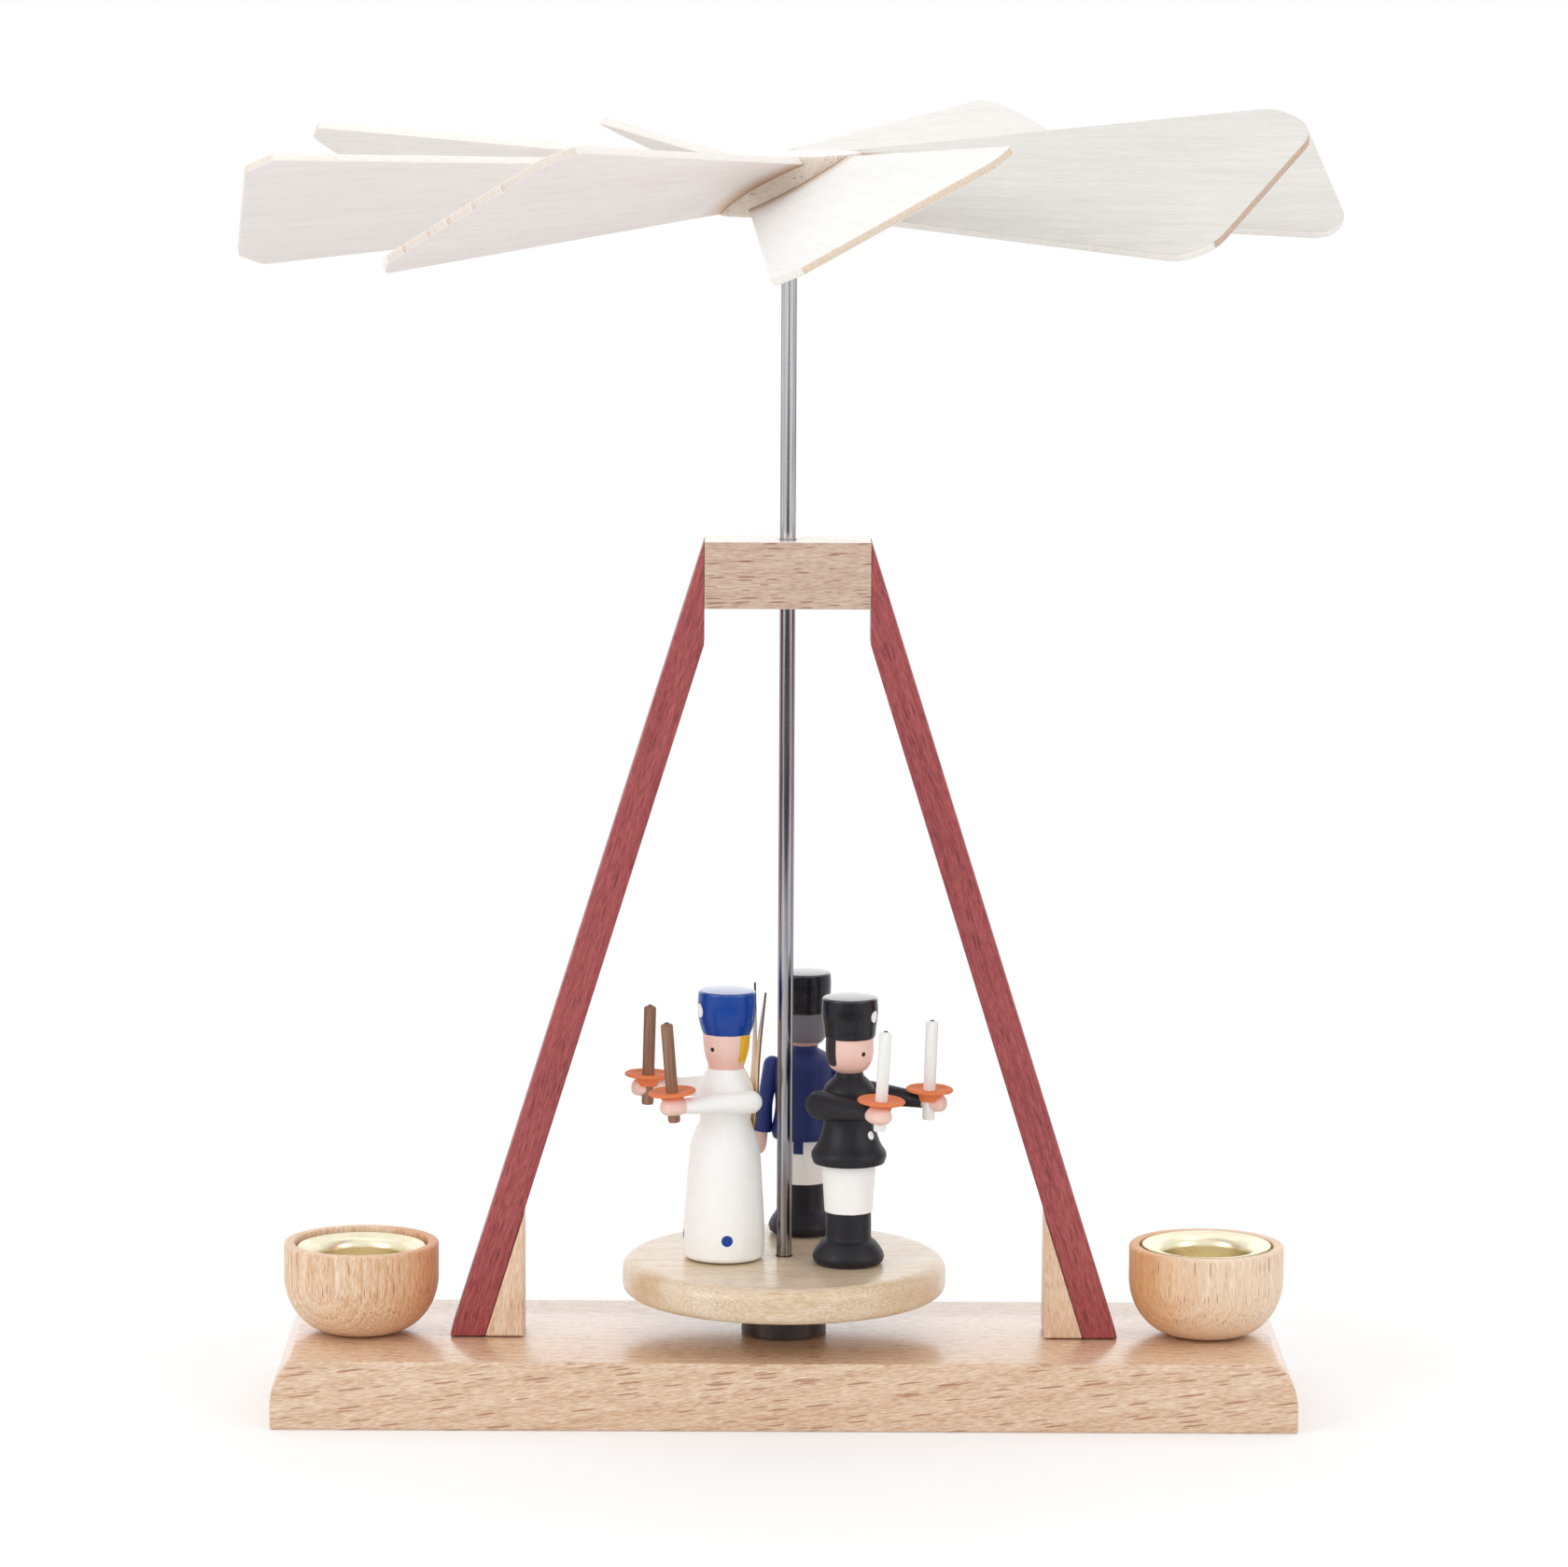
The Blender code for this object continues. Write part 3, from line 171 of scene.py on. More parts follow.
# Heads and hats
ANGEL_CHEST_RADIUS = 5.9
ANGEL_NECK_Z = 37.9
ANGEL_BRIM_Z = 44.8
ANGEL_HAT_TOP_Z = 53.8
MINER_CHEST_RADIUS = 5.2
MINER_NECK_Z = 38.2
MINER_BRIM_Z = 44.9
MINER_HAT_TOP_Z = 53.4
MINER_HEAD_RADIUS = 4.7

# The bandsman's hanging arms
BANDSMAN_CHEST_RADIUS = 5.4
WIDER_CHEST = 0.7
HANGING_ARM_LENGTH = 16.0
HANGING_ARM_RADIUS = 1.8
HANGING_ARM_FLAT = 0.3
HANGING_ARM_Z = 33.9
HANGING_ARM_SPLAY = math.radians(8.5)
ELBOW_OUT = 0.25

# The angel's wings: the outline in (half width, share of the height)
WING_THICKNESS = 0.35
WING_LOW_Z = 24.8
WING_TOP_Z = 53.6
WING_X = 5.9
WING_LEAN = math.radians(2.6)
WING_TURN = math.radians(10.0)
WING_BORDER = 0.5
WING_EDGE = ((0.0, 0.12), (2.2, 0.0), (3.4, 0.06), (4.3, 0.19), (4.2, 0.32), (3.7, 0.45), (3.8, 0.56),
             (4.4, 0.7), (5.4, 0.86), (6.05, 0.97), (5.9, 1.0))
WING_NOTCH = ((5.9, 1.0), (2.6, 0.76), (0.0, 0.53))
WING_NOTCH_Z = 6.0

# Camera, in millimetres and radians
CAMERA_PLACE = (-6.91, -1185.7, 291.16)
CAMERA_YAW = 0.0054
CAMERA_PITCH = 0.1405
CAMERA_ROLL = -0.0053
CAMERA_LENS = 140.29
SENSOR_WIDTH = 36.0

# Stage and light, in metres and watts: each light has its place, its target, its size and its power
FLOOR_HALF = 14.0
FLOOR_FADE = (0.2, 0.5)
FLOOR_GLOW = 0.22
WORLD_LIGHT = 0.8
CARD_HALF_WIDTH = 0.34
CARD_REACH = (-2.6, -0.23)
CARD_Z = 0.001
LIGHTS = {
    "top_light": ((0.0, 0.25, 1.5), (0.0, 0.0, 0.1), (1.6, 1.4), 4.0),
    "left_light": ((-1.4, -1.1, 0.75), (0.0, 0.0, 0.12), (1.0, 1.2), 8.0),
    "right_light": ((1.4, -1.1, 0.75), (0.0, 0.0, 0.12), (1.0, 1.2), 5.0),
    "back_light": ((0.0, 1.7, 0.6), (0.0, 0.0, 0.1), (3.0, 1.2), 3.4),
}

# Paint
WHITE = "fdfdfb"
BLUE = "14439b"
SKIN = "f5d0c3"
LOWER_FACE_PINK = "eda596"
EYE = "1e1212"
EYE_RADIUS = 0.46
BLACK = "1b1b22"
NAVY = "212f6a"
GREY = "77767f"
HAIR_DARK = "2c2225"


# Node trees

def srgb(code):
    """A linear colour from an sRGB hex code."""
    channels = [int(code[index:index + 2], 16) / 255 for index in (0, 2, 4)]
    return tuple(c / 12.92 if c <= 0.04045 else ((c + 0.055) / 1.055) ** 2.4 for c in channels) + (1.0,)


class Nodes:
    """A material's or world's node tree; most methods add a node and return an output."""

    def __init__(self, name, owner=None):
        self.owner = owner or bpy.data.materials.new(name)
        self.owner.use_nodes = True
        self.tree = self.owner.node_tree
        self.shader = self.tree.nodes.get("Principled BSDF")
        self.spot = None

    def put(self, value, socket):
        """Link an output to the socket, or set the socket's own value; a text is a hex colour."""
        if isinstance(value, bpy.types.NodeSocket):
            self.tree.links.new(value, socket)
        else:
            socket.default_value = srgb(value) if isinstance(value, str) else value

    def make(self, kind, inputs=None, output=0, **settings):
        node = self.tree.nodes.new("ShaderNode" + kind)
        for name, value in settings.items():
            setattr(node, name, value)
        for key, value in (inputs or {}).items():
            self.put(value, node.inputs[key])
        return node.outputs[output]

    def place(self):
        """The piece's own coordinates, in millimetres."""
        if self.spot is None:
            here = self.make("TexCoord", output=3)
            self.spot = self.make("VectorMath", {0: here, 3: 1 / MM}, operation="SCALE")
        return self.spot

    def axes(self, vector):
        """The X, Y and Z outputs of a vector."""
        return self.make("SeparateXYZ", {0: vector}).node.outputs

    def height(self):
        return self.axes(self.place())[2]

    def turned(self, turn):
        """The piece's coordinates turned by Euler angles."""
        return self.make("Mapping", {0: self.place(), 2: turn})

    def maths(self, operation, first, second=0.0, clamp=False):
        return self.make("Math", {0: first, 1: second}, operation=operation, use_clamp=clamp)

    def plus(self, first, second, clamp=False):
        return self.maths("ADD", first, second, clamp)

    def minus(self, first, second):
        return self.maths("SUBTRACT", first, second)

    def times(self, first, second):
        return self.maths("MULTIPLY", first, second)

    def length(self, first, second):
        """The length of a vector with these two parts."""
        return self.maths("SQRT", self.plus(self.times(first, first), self.times(second, second)))

    def ramp(self, value, low, high, start=0.0, end=1.0, smooth=False):
        """From start to end while the value goes from low to high."""
        kind = "SMOOTHSTEP" if smooth else "LINEAR"
        return self.make("MapRange", {0: value, 1: low, 2: high, 3: start, 4: end}, interpolation_type=kind)

    def above(self, value, limit, soft=0.06):
        """1 where the value is above the limit, with a soft edge."""
        return self.ramp(value, limit - soft, limit + soft, smooth=True)

    def near(self, centre, radius, soft=0.07):
        """1 within a radius of a point."""
        away = self.make("VectorMath", {0: self.place(), 1: centre}, output=1, operation="DISTANCE")
        return self.ramp(away, radius - soft, radius + soft, 1.0, 0.0, smooth=True)

    def noise(self, vector, scales, detail=2.0, seed=0.0):
        """Soft noise from 0 to 1, with its own scale along each axis."""
        stretched = self.make("Mapping", {0: vector, 1: (seed, seed * 0.7, -seed), 3: scales})
        return self.make("TexNoise", {"Vector": stretched, "Scale": 1.0, "Detail": detail})

    def mix(self, share, first, second, blend="MIX"):
        return self.make("Mix", {0: share, 6: first, 7: second}, output=2, data_type="RGBA", blend_type=blend)

    def bump(self, height, depth):
        """Relief of a depth in millimetres."""
        normal = self.make("Bump", {"Strength": 1.0, "Distance": depth * MM, "Height": height})
        self.tree.links.new(normal, self.shader.inputs["Normal"])

    def finish(self, colour, roughness, **others):
        """Give the shader its inputs; what is uniform is set on the shader itself."""
        inputs = {"Base Color": colour, "Roughness": roughness}
        inputs.update({name.replace("_", " "): value for name, value in others.items()})
        for name, value in inputs.items():
            self.put(value, self.shader.inputs[name])
        return self.owner


# Wood

def wood(name, pale, deep, fleck, turn=(0.0, 0.0, 0.0), pith=(70.0, -45.0), ring=2.6, ring_share=0.15,
         fibre_share=0.3, speckle_share=0.5, tone_share=0.2, fleck_length=8.0, fleck_pitch=0.65,
         fleck_size=0.36, fleck_strength=0.85, roughness=0.45, relief=0.03, wander=2.2, seed=0.0,
         painted_shading=None, **finish):
    """Wood with its grain along X once turned: rings about a pith, fibres, speckle, tone and dark flecks, and
    painted shade where it is given.
    """
    n = Nodes(name)
    spot = n.turned(turn)
    y, z = n.axes(spot)[1:]
    drift = n.noise(spot, (0.02, 0.07, 0.07), seed=seed + 3.0)
    drift = n.times(n.minus(drift, 0.5), wander * 2)
    away = n.length(n.plus(n.minus(y, pith[0]), drift), n.plus(n.minus(z, pith[1]), drift))
    phase = n.maths("FRACT", n.maths("DIVIDE", away, ring))
    band = n.times(n.maths("POWER", phase, 2.0), n.ramp(phase, 1.0, 0.85))
    fibre = n.ramp(n.noise(spot, (0.09, 2.6, 2.6), 4.0, seed), 0.3, 0.7)
    speckle = n.ramp(n.noise(spot, (0.5, 4.5, 4.5), 3.0, seed + 7.0), 0.39, 0.61)
    tone = n.ramp(n.noise(spot, (0.025, 0.12, 0.12), 3.0, seed + 11.0), 0.3, 0.7)
    share = n.plus(n.times(band, ring_share * 1.8), n.times(fibre, fibre_share))
    share = n.plus(share, n.times(speckle, speckle_share))
    share = n.plus(share, n.times(tone, tone_share), clamp=True)
    colour = n.mix(share, pale, deep)
    scales = (1 / fleck_length, 1 / fleck_pitch, 1 / fleck_pitch)
    cells = n.make("Mapping", {0: spot, 1: (seed, seed, seed), 3: scales})
    distance = n.make("TexVoronoi", {"Vector": cells, "Scale": 1.0, "Randomness": 1.0})
    chance = n.axes(distance.node.outputs[1])[0]
    marks = n.ramp(n.minus(n.times(chance, fleck_size), distance), 0.0, 0.05, smooth=True)
    colour = n.mix(n.times(marks, fleck_strength), colour, fleck)
    if painted_shading is not None:
        colour = painted_shade(n, colour, *painted_shading)
    n.bump(n.minus(n.times(n.plus(fibre, speckle), 0.3), n.times(marks, 0.5)), relief)
    return n.finish(colour, n.ramp(speckle, 0.0, 1.0, roughness - 0.06, roughness + 0.08), **finish)


def painted_shade(n, colour, along, start, end, code):
    """Painted shade: a darker tone that grows along the piece's X axis, or with the distance from its origin.
    """
    if along == "x":
        measure = n.axes(n.place())[0]
    else:
        measure = n.make("VectorMath", {0: n.place()}, output=1, operation="LENGTH")
    return n.mix(n.ramp(measure, start, end, smooth=True), colour, code, "MULTIPLY")


def edge_wood(name, pale, deep, turn=(0.0, 0.0, 0.0), lines=(4.0, 4.0, 0.6), specks=0.35, **finish):
    """Cut edge of thin wood, with fine layers and small dark specks."""
    n = Nodes(name)
    spot = n.turned(turn)
    layers = n.ramp(n.noise(spot, lines, 4.0), 0.32, 0.68)
    spots = n.ramp(n.noise(spot, (2.2, 2.2, 2.2), 3.0, 5.0), 0.6, 0.75, 0.0, specks)
    n.bump(layers, 0.04)
    return n.finish(n.mix(n.plus(layers, spots, clamp=True), pale, deep), 0.7, **finish)


# Metal

def steel():
    """Drawn rod: long streaks, darker patches, and a painted darker reflection lower down."""
    n = Nodes("steel")
    streaks = n.ramp(n.noise(n.place(), (2.6, 2.6, 0.012), 5.0), 0.36, 0.64)
    patches = n.ramp(n.noise(n.place(), (0.9, 0.9, 0.06), 4.0, 4.0), 0.35, 0.7)
    share = n.times(streaks, n.plus(n.times(patches, 0.5), 0.5))
    # Painted reflection: the rod is darker lower down and lighter towards the top.
    rise = n.ramp(n.height(), 122.0, 175.0)
    pale = n.mix(rise, "b9b8bd", "d2d1d3")
    deep = n.mix(rise, "5a5961", "868486")
    n.bump(streaks, 0.01)
    return n.finish(n.mix(share, pale, deep), n.ramp(patches, 0.0, 1.0, 0.14, 0.26), Metallic=1.0,
                    Specular_Tint="8a7480")


def brass():
    """Pressed brass-coated sheet: pale gold, with faint turning marks, a few dull spots, and a painted warm
    reflection deep in the cup.
    """
    n = Nodes("brass")
    x, y, z = n.axes(n.place())
    marks = n.make("CombineXYZ", {0: n.times(n.length(x, y), 6.0), 1: n.times(z, 3.0)})
    marks = n.noise(marks, (1.0, 1.0, 1.0), 3.0)
    dull = n.ramp(n.noise(n.place(), (0.35, 0.35, 0.35), 4.0, 2.0), 0.4, 0.75)
    colour = n.mix(n.times(dull, 0.35), "f0e9cf", "dccd9e")
    # Painted reflection: warmer gold deeper in the cup, for the brass reflecting itself.
    colour = n.mix(n.times(n.ramp(z, 29.0, 24.0), 0.6), colour, "fdebc6")
    n.bump(marks, 0.006)
    return n.finish(colour, n.ramp(dull, 0.0, 1.0, 0.27, 0.38), Metallic=1.0)


# Paint

def facing_angle(n):
    """The angle from straight ahead, in degrees."""
    axes = n.axes(n.place())
    return n.times(n.maths("ARCTAN2", axes[1], axes[0]), 180 / math.pi)


def uneven_height(n):
    """The height with a slight waver, for the edges of paint."""
    wobble = n.noise(n.place(), (0.5, 0.5, 0.1), seed=9.0)
    return n.plus(n.height(), n.times(n.minus(wobble, 0.5), 0.35))


def hair_mask(n, angle, front_angle, low_z, top_z, head_radius, corner):
    """Hair round the back of the head, with a rounded lower front corner."""
    height = n.height()
    inward = n.times(n.minus(n.maths("ABSOLUTE", angle), front_angle), math.radians(head_radius))
    side = n.maths("MAXIMUM", n.minus(corner, inward), 0.0)
    under = n.maths("MAXIMUM", n.minus(corner, n.minus(height, low_z)), 0.0)
    inside = n.ramp(n.length(side, under), corner + 0.06, corner - 0.06, smooth=True)
    return n.times(inside, n.minus(1.0, n.above(height, top_z, 0.03)))


def on_surface(angle_degrees, radius, height):
    """A point on a turned figure, by its angle from straight ahead."""
    angle = math.radians(angle_degrees)
    return (radius * math.cos(angle), radius * math.sin(angle), height)


def lower_face_tint(n, colour, chin_z):
    """A pinker, darker lower face, towards the chin."""
    low = n.ramp(n.height(), chin_z + 4.0, chin_z + 1.0, 0.0, 0.35)
    return n.mix(n.times(low, n.above(n.height(), chin_z)), colour, LOWER_FACE_PINK)


def dots(n, colour, code, radius, *places):
    """Round dots of paint."""
    for place in places:
        colour = n.mix(n.near(place, radius), colour, code)
    return colour


def paint_finish(n, colour, roughness=0.42, hat=None, relief=0.009):
    """Brushed lacquer on turned wood; hat gives the heights from which it is smoother, and then coated."""
    z = n.height()
    shade = n.ramp(n.noise(n.place(), (0.6, 0.6, 0.35), 3.0, 1.0), 0.25, 0.75, 0.97, 1.02)
    colour = n.mix(1.0, colour, n.make("CombineColor", {0: shade, 1: shade, 2: shade}), "MULTIPLY")
    lathe = n.maths("SINE", n.times(z, 9.0))
    grain = n.noise(n.place(), (3.0, 3.0, 0.6), 4.0, 7.0)
    n.bump(n.plus(n.times(lathe, 0.12), grain), relief)
    rough = n.ramp(grain, 0.3, 0.7, roughness - 0.06, roughness + 0.08)
    if hat is None:
        return n.finish(colour, rough, IOR=1.38)
    brim_z, crown_z = hat
    rough = n.minus(rough, n.times(n.above(z, brim_z), 0.2))
    return n.finish(colour, rough, IOR=1.38, Coat_Weight=n.above(z, crown_z, 0.15), Coat_Roughness=0.2,
                    Coat_IOR=1.6)


def plate_paint():
    return paint_finish(Nodes("orange_paint"), "e8814f", roughness=0.6)


def angel_paint():
    """White robe with blue dots at the hem, face, yellow hair and blue hat with a white dot."""
    n = Nodes("angel_paint")
    uneven = uneven_height(n)
    colour = n.mix(n.above(uneven, ANGEL_NECK_Z), WHITE, SKIN)
    colour = lower_face_tint(n, colour, ANGEL_NECK_Z)
    colour = dots(n, colour, BLUE, 1.15, *(on_surface(75.0 + 90.0 * step, 7.75, 4.6) for step in range(4)))
    colour = dots(n, colour, EYE, EYE_RADIUS, on_surface(-32.5, 4.55, 42.0), on_surface(32.5, 4.55, 42.0))
    colour = dots(n, colour, "d98175", 0.3, on_surface(0.0, 4.3, 40.0))
    hair = hair_mask(n, facing_angle(n), 106.0, 39.2, ANGEL_BRIM_Z, 4.65, 0.9)
    strands = n.ramp(n.noise(n.place(), (2.5, 2.5, 0.3), 3.0, 6.0), 0.35, 0.65)
    colour = n.mix(hair, colour, n.mix(strands, "f8cb42", "e4a623"))
    colour = n.mix(n.above(uneven, ANGEL_BRIM_Z), colour, BLUE)
    colour = dots(n, colour, WHITE, 1.4, on_surface(0.0, 5.7, 49.5))
    return paint_finish(n, colour, hat=(ANGEL_BRIM_Z, 52.95))


def miner_paint(name, coat, hair, hem_z, hair_z, turn, tail=False):
    """Boots, white trousers, coat with a button, face, hair and hat with a white dot."""
    n = Nodes(name)
    z, angle = n.height(), facing_angle(n)
    colour = n.mix(n.above(uneven_height(n), 10.2), BLACK, WHITE)
    if tail:
        strip = n.times(n.above(angle, 155.0, 0.5), n.above(z, 16.5, 0.1))
        colour = n.mix(strip, colour, coat)
    colour = n.mix(n.above(z, hem_z), colour, coat)
    colour = n.mix(n.above(z, MINER_NECK_Z - 0.05), colour, SKIN)
    colour = lower_face_tint(n, colour, MINER_NECK_Z)
    eyes = [on_surface(turn + side * 26.0, 4.68, 42.15) for side in (-1, 1)]
    colour = dots(n, colour, EYE, EYE_RADIUS, *eyes)
    colour = dots(n, colour, "cf6a5e", 0.32, on_surface(turn, 4.5, 40.0))
    colour = n.mix(hair_mask(n, angle, 90.0, hair_z, MINER_BRIM_Z, MINER_HEAD_RADIUS, 1.0), colour, hair)
    colour = n.mix(n.above(z, MINER_BRIM_Z), colour, BLACK)
    colour = dots(n, colour, WHITE, 1.15, on_surface(turn, 5.45, 49.4))
    colour = dots(n, colour, WHITE, 0.85, on_surface(turn - 10.0, 5.4, 25.9))
    return paint_finish(n, colour, hat=(MINER_BRIM_Z, 52.6))


def arm_paint(name, sleeve, hand_start):
    """Sleeve paint, and skin from the wrist on."""
    n = Nodes(name)
    return paint_finish(n, n.mix(n.above(uneven_height(n), hand_start), sleeve, SKIN), relief=0.04)


def candle_paint(name, light, dark, wick):
    """A turned stick with streaks along it and a dark wick mark on its end."""
    n = Nodes(name)
    streak = n.ramp(n.noise(n.place(), (1.6, 1.6, 0.09), 4.0), 0.32, 0.68)
    n.bump(streak, 0.04)
    return n.finish(n.mix(n.near((0.0, 0.0, CANDLE_TOP), 0.5), n.mix(streak, light, dark), wick), 0.55)


def wing_wood():
    """Thin pale wood whose faces darken towards the scorched outline and are painted paler towards the top,
    as painted light.
    """
    n = Nodes("wing_wood")
    scorch = n.make("Attribute", output=2, attribute_name="scorch")
    fibre = n.ramp(n.noise(n.place(), (3.0, 3.0, 0.15), 3.0), 0.3, 0.7)
    # Painted light: the faces are paler towards the top.
    pale = n.mix(n.ramp(n.height(), -2.0, 12.0, smooth=True), "fbdcab", "fff8ee")
    colour = n.mix(n.times(fibre, 0.3), pale, "efc48c")
    edge = n.times(scorch, n.plus(n.times(fibre, 0.4), 0.6))
    n.bump(fibre, 0.02)
    return n.finish(n.mix(n.ramp(edge, 0.8, 1.2), colour, "c28f5a"), 0.6)


# Meshes

def smooth_curve(points, steps=6):
    """A smooth curve through the points, with steps segments between two of them."""
    padded = [points[0]] + list(points) + [points[-1]]
    result = []
    for index in range(1, len(padded) - 2):
        before, start, end, after = (Vector(padded[index + shift]) for shift in (-1, 0, 1, 2))
        for step in range(steps):
            t = step / steps
            spot = (start * 2 + (end - before) * t
                    + (before * 2 - start * 5 + end * 4 - after) * t ** 2
                    + (start * 3 - before - end * 3 + after) * t ** 3) / 2
            result.append(tuple(spot))
    result.append(tuple(points[-1]))
    return result


def arc(centre, radius, start_degrees, end_degrees, steps=8):
    """Points on an arc; radius may be a pair for an ellipse."""
    radius_x, radius_y = radius if isinstance(radius, tuple) else (radius, radius)
    points = []
    for index in range(steps + 1):
        angle = math.radians(start_degrees + (end_degrees - start_degrees) * index / steps)
        points.append((centre[0] + radius_x * math.cos(angle), centre[1] + radius_y * math.sin(angle)))
    return points


def rounded_corners(points, radius, steps=4):
    """The line with each corner but its ends rounded by about the radius."""
    result = [points[0]]
    for index in range(1, len(points) - 1):
        here = Vector(points[index])
        before = Vector(points[index - 1]) - here
        after = Vector(points[index + 1]) - here
        reach = min(radius, before.length * 0.45, after.length * 0.45)
        start = here + before.normalized() * reach
        end = here + after.normalized() * reach
        for step in range(steps + 1):
            t = step / steps
            result.append(tuple(start * (1 - t) ** 2 + here * 2 * t * (1 - t) + end * t ** 2))
    return result + [points[-1]]


def mesh_from(name, solid):
    """Write a bmesh as a mesh in metres."""
    bmesh.ops.scale(solid, verts=solid.verts, vec=(MM, MM, MM))
    bmesh.ops.recalc_face_normals(solid, faces=solid.faces)
    mesh = bpy.data.meshes.new(name)
    solid.to_mesh(mesh)
    solid.free()
    return mesh


def linked(name, data, place=None):
    """An object in the scene."""
    thing = bpy.data.objects.new(name, data)
    bpy.context.scene.collection.objects.link(thing)
    thing.matrix_world = place or Matrix.Identity(4)
    return thing


def new_piece(name, solid, materials, body, node, place=None, sharp_degrees=32.0, smooth=True):
    """A piece that rides on a body in the place of a CAD node."""
    mesh = mesh_from(name, solid)
    if smooth:
        mesh.shade_smooth()
        mesh.set_sharp_from_angle(angle=math.radians(sharp_degrees))
    for material in materials:
        mesh.materials.append(material)
    piece = linked(name, mesh, place)
    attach(piece, body)
    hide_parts(node)
    return piece


def around(ring):
    """Each corner of a closed ring with the one after it."""
    return list(zip(ring, ring[1:] + ring[:1]))


def bridge(solid, first, second):
    """Faces between two closed rings of equally many corners."""
    return [solid.faces.new((a, b, d, c)) for (a, b), (c, d) in zip(around(first), around(second))]


def fill(solid, edges):
    """Triangles between rings of edges."""
    bmesh.ops.triangle_fill(solid, use_beauty=True, use_dissolve=False, edges=edges)


def turned_solid(profile, steps=96, closed=False):
    """A bmesh turned from (radius, height) points round the Z axis."""
    solid = bmesh.new()
    turns = [(math.cos(math.tau * step / steps), math.sin(math.tau * step / steps)) for step in range(steps)]
    rings = []
    for radius, height in profile:
        ring = [(0.0, 0.0)] if radius < 0.0001 else turns
        rings.append([solid.verts.new((radius * x, radius * y, height)) for x, y in ring])
    pairs = list(zip(rings, rings[1:]))
    if closed:
        pairs.append((rings[-1], rings[0]))
    for upper, lower in pairs:
        for step in range(steps):
            after = (step + 1) % steps
            corners = [upper[step % len(upper)], upper[after % len(upper)],
                       lower[after % len(lower)], lower[step % len(lower)]]
            corners = list(dict.fromkeys(corners))
            if len(corners) > 2:
                solid.faces.new(corners)
    return solid


def turned_piece(name, profile, materials, body, node, place=None, steps=96, closed=False,
                 sharp_degrees=32.0):
    solid = turned_solid(profile, steps, closed)
    return new_piece(name, solid, materials, body, node, place, sharp_degrees)


def outline_solid(outline, thickness, upright=True):
    """A bmesh of a flat outline with a thickness; an upright one stands in the XZ plane."""
    solid = bmesh.new()
    sides = []
    for level in (-thickness / 2, thickness / 2):
        corners = [(a, level, b) if upright else (a, b, level) for a, b in outline]
        sides.append([solid.verts.new(corner) for corner in corners])
        solid.faces.new(sides[-1])
    bridge(solid, *sides)
    bmesh.ops.recalc_face_normals(solid, faces=solid.faces)
    return solid


def ease_edges(solid, width, segments=3, angle_degrees=25.0):
    """Round the edges that are sharper than an angle."""
    sharp = [edge for edge in solid.edges
             if len(edge.link_faces) == 2 and edge.calc_face_angle(0.0) > math.radians(angle_degrees)]
    bmesh.ops.bevel(solid, geom=sharp, offset=width, segments=segments, profile=0.5, affect="EDGES",
                    clamp_overlap=True)


def place_at(location, rotation=(0.0, 0.0, 0.0)):
    """A local frame, with its place in millimetres."""
    return Matrix.Translation(Vector(location) * MM) @ Euler(rotation).to_matrix().to_4x4()


# Base board and frame

def beech(name, **settings):
    return wood(name, "f4dcc1", "c99970", "a5683f", **settings)


def make_board():
    """The board; each end leans in along an arc that meets the top face at a corner."""
    half = BOARD_LENGTH / 2
    width, height = BOARD_END_ROUND
    radius = (width ** 2 + height ** 2) / (2 * width)
    top_angle = math.degrees(math.asin(height / radius))
    right = [(half, 0.0)] + arc((half - radius, BOARD_HEIGHT - height), radius, 0.0, top_angle, 14)
    left = [(-x, z) for x, z in reversed(right)]
    solid = outline_solid(right + left, BOARD_DEPTH)
    ease_edges(solid, BOARD_EASE)
    material = beech("beech_board", turn=(0.0, math.radians(6.5), math.radians(2.0)), seed=2.0,
                     roughness=0.36, tone_share=0.12, speckle_share=0.55, fleck_length=9.0,
                     fleck_pitch=0.58, fleck_size=0.39, Coat_Weight=1.0, Coat_Roughness=0.23, Coat_IOR=1.75)
    new_piece("board", solid, [material], "root", "base_board")


def strut_slope():
    """How far the struts lean in per height, and their width across the level."""
    lean = (STRUT_FOOT_X - BEAM_LENGTH / 2 - SEAT_GAP) / (BEAM_TOP_Z - SEAT_Z)
    return lean, STRUT_THICKNESS * math.sqrt(1 + lean ** 2)


def make_frame_piece(name, side, outline, material):
    """A strut or wedge, from its outline on the right-hand side."""
    sign = SIDES[side]
    solid = outline_solid([(sign * x, z) for x, z in outline], FRAME_DEPTH)
    ease_edges(solid, FRAME_EASE)
    node = "%s_%s" % (name, side)
    new_piece(node + "_fine", solid, [material], "root", node)


def make_struts():
    lean, width = strut_slope()
    top_x = BEAM_LENGTH / 2 + GLUE_LINE
    outline = [(STRUT_FOOT_X, SEAT_Z), (top_x, BEAM_TOP_Z),
               (top_x, BEAM_TOP_Z - width / lean + STRUT_TAPER), (STRUT_FOOT_X - width, SEAT_Z)]
    for side, sign in SIDES.items():
        turn = (0.0, math.pi / 2 + sign * math.atan(lean), 0.0)
        material = wood("red_beech_" + side, "bc605c", "8a363d", "60232d", turn=turn, pith=(40.0, 25.0),
                        ring=2.2, fleck_length=6.0, fleck_pitch=0.5, fleck_size=0.33, fleck_strength=0.7,
                        relief=0.025, seed=5.0 + sign)
        make_frame_piece("strut", side, outline, material)


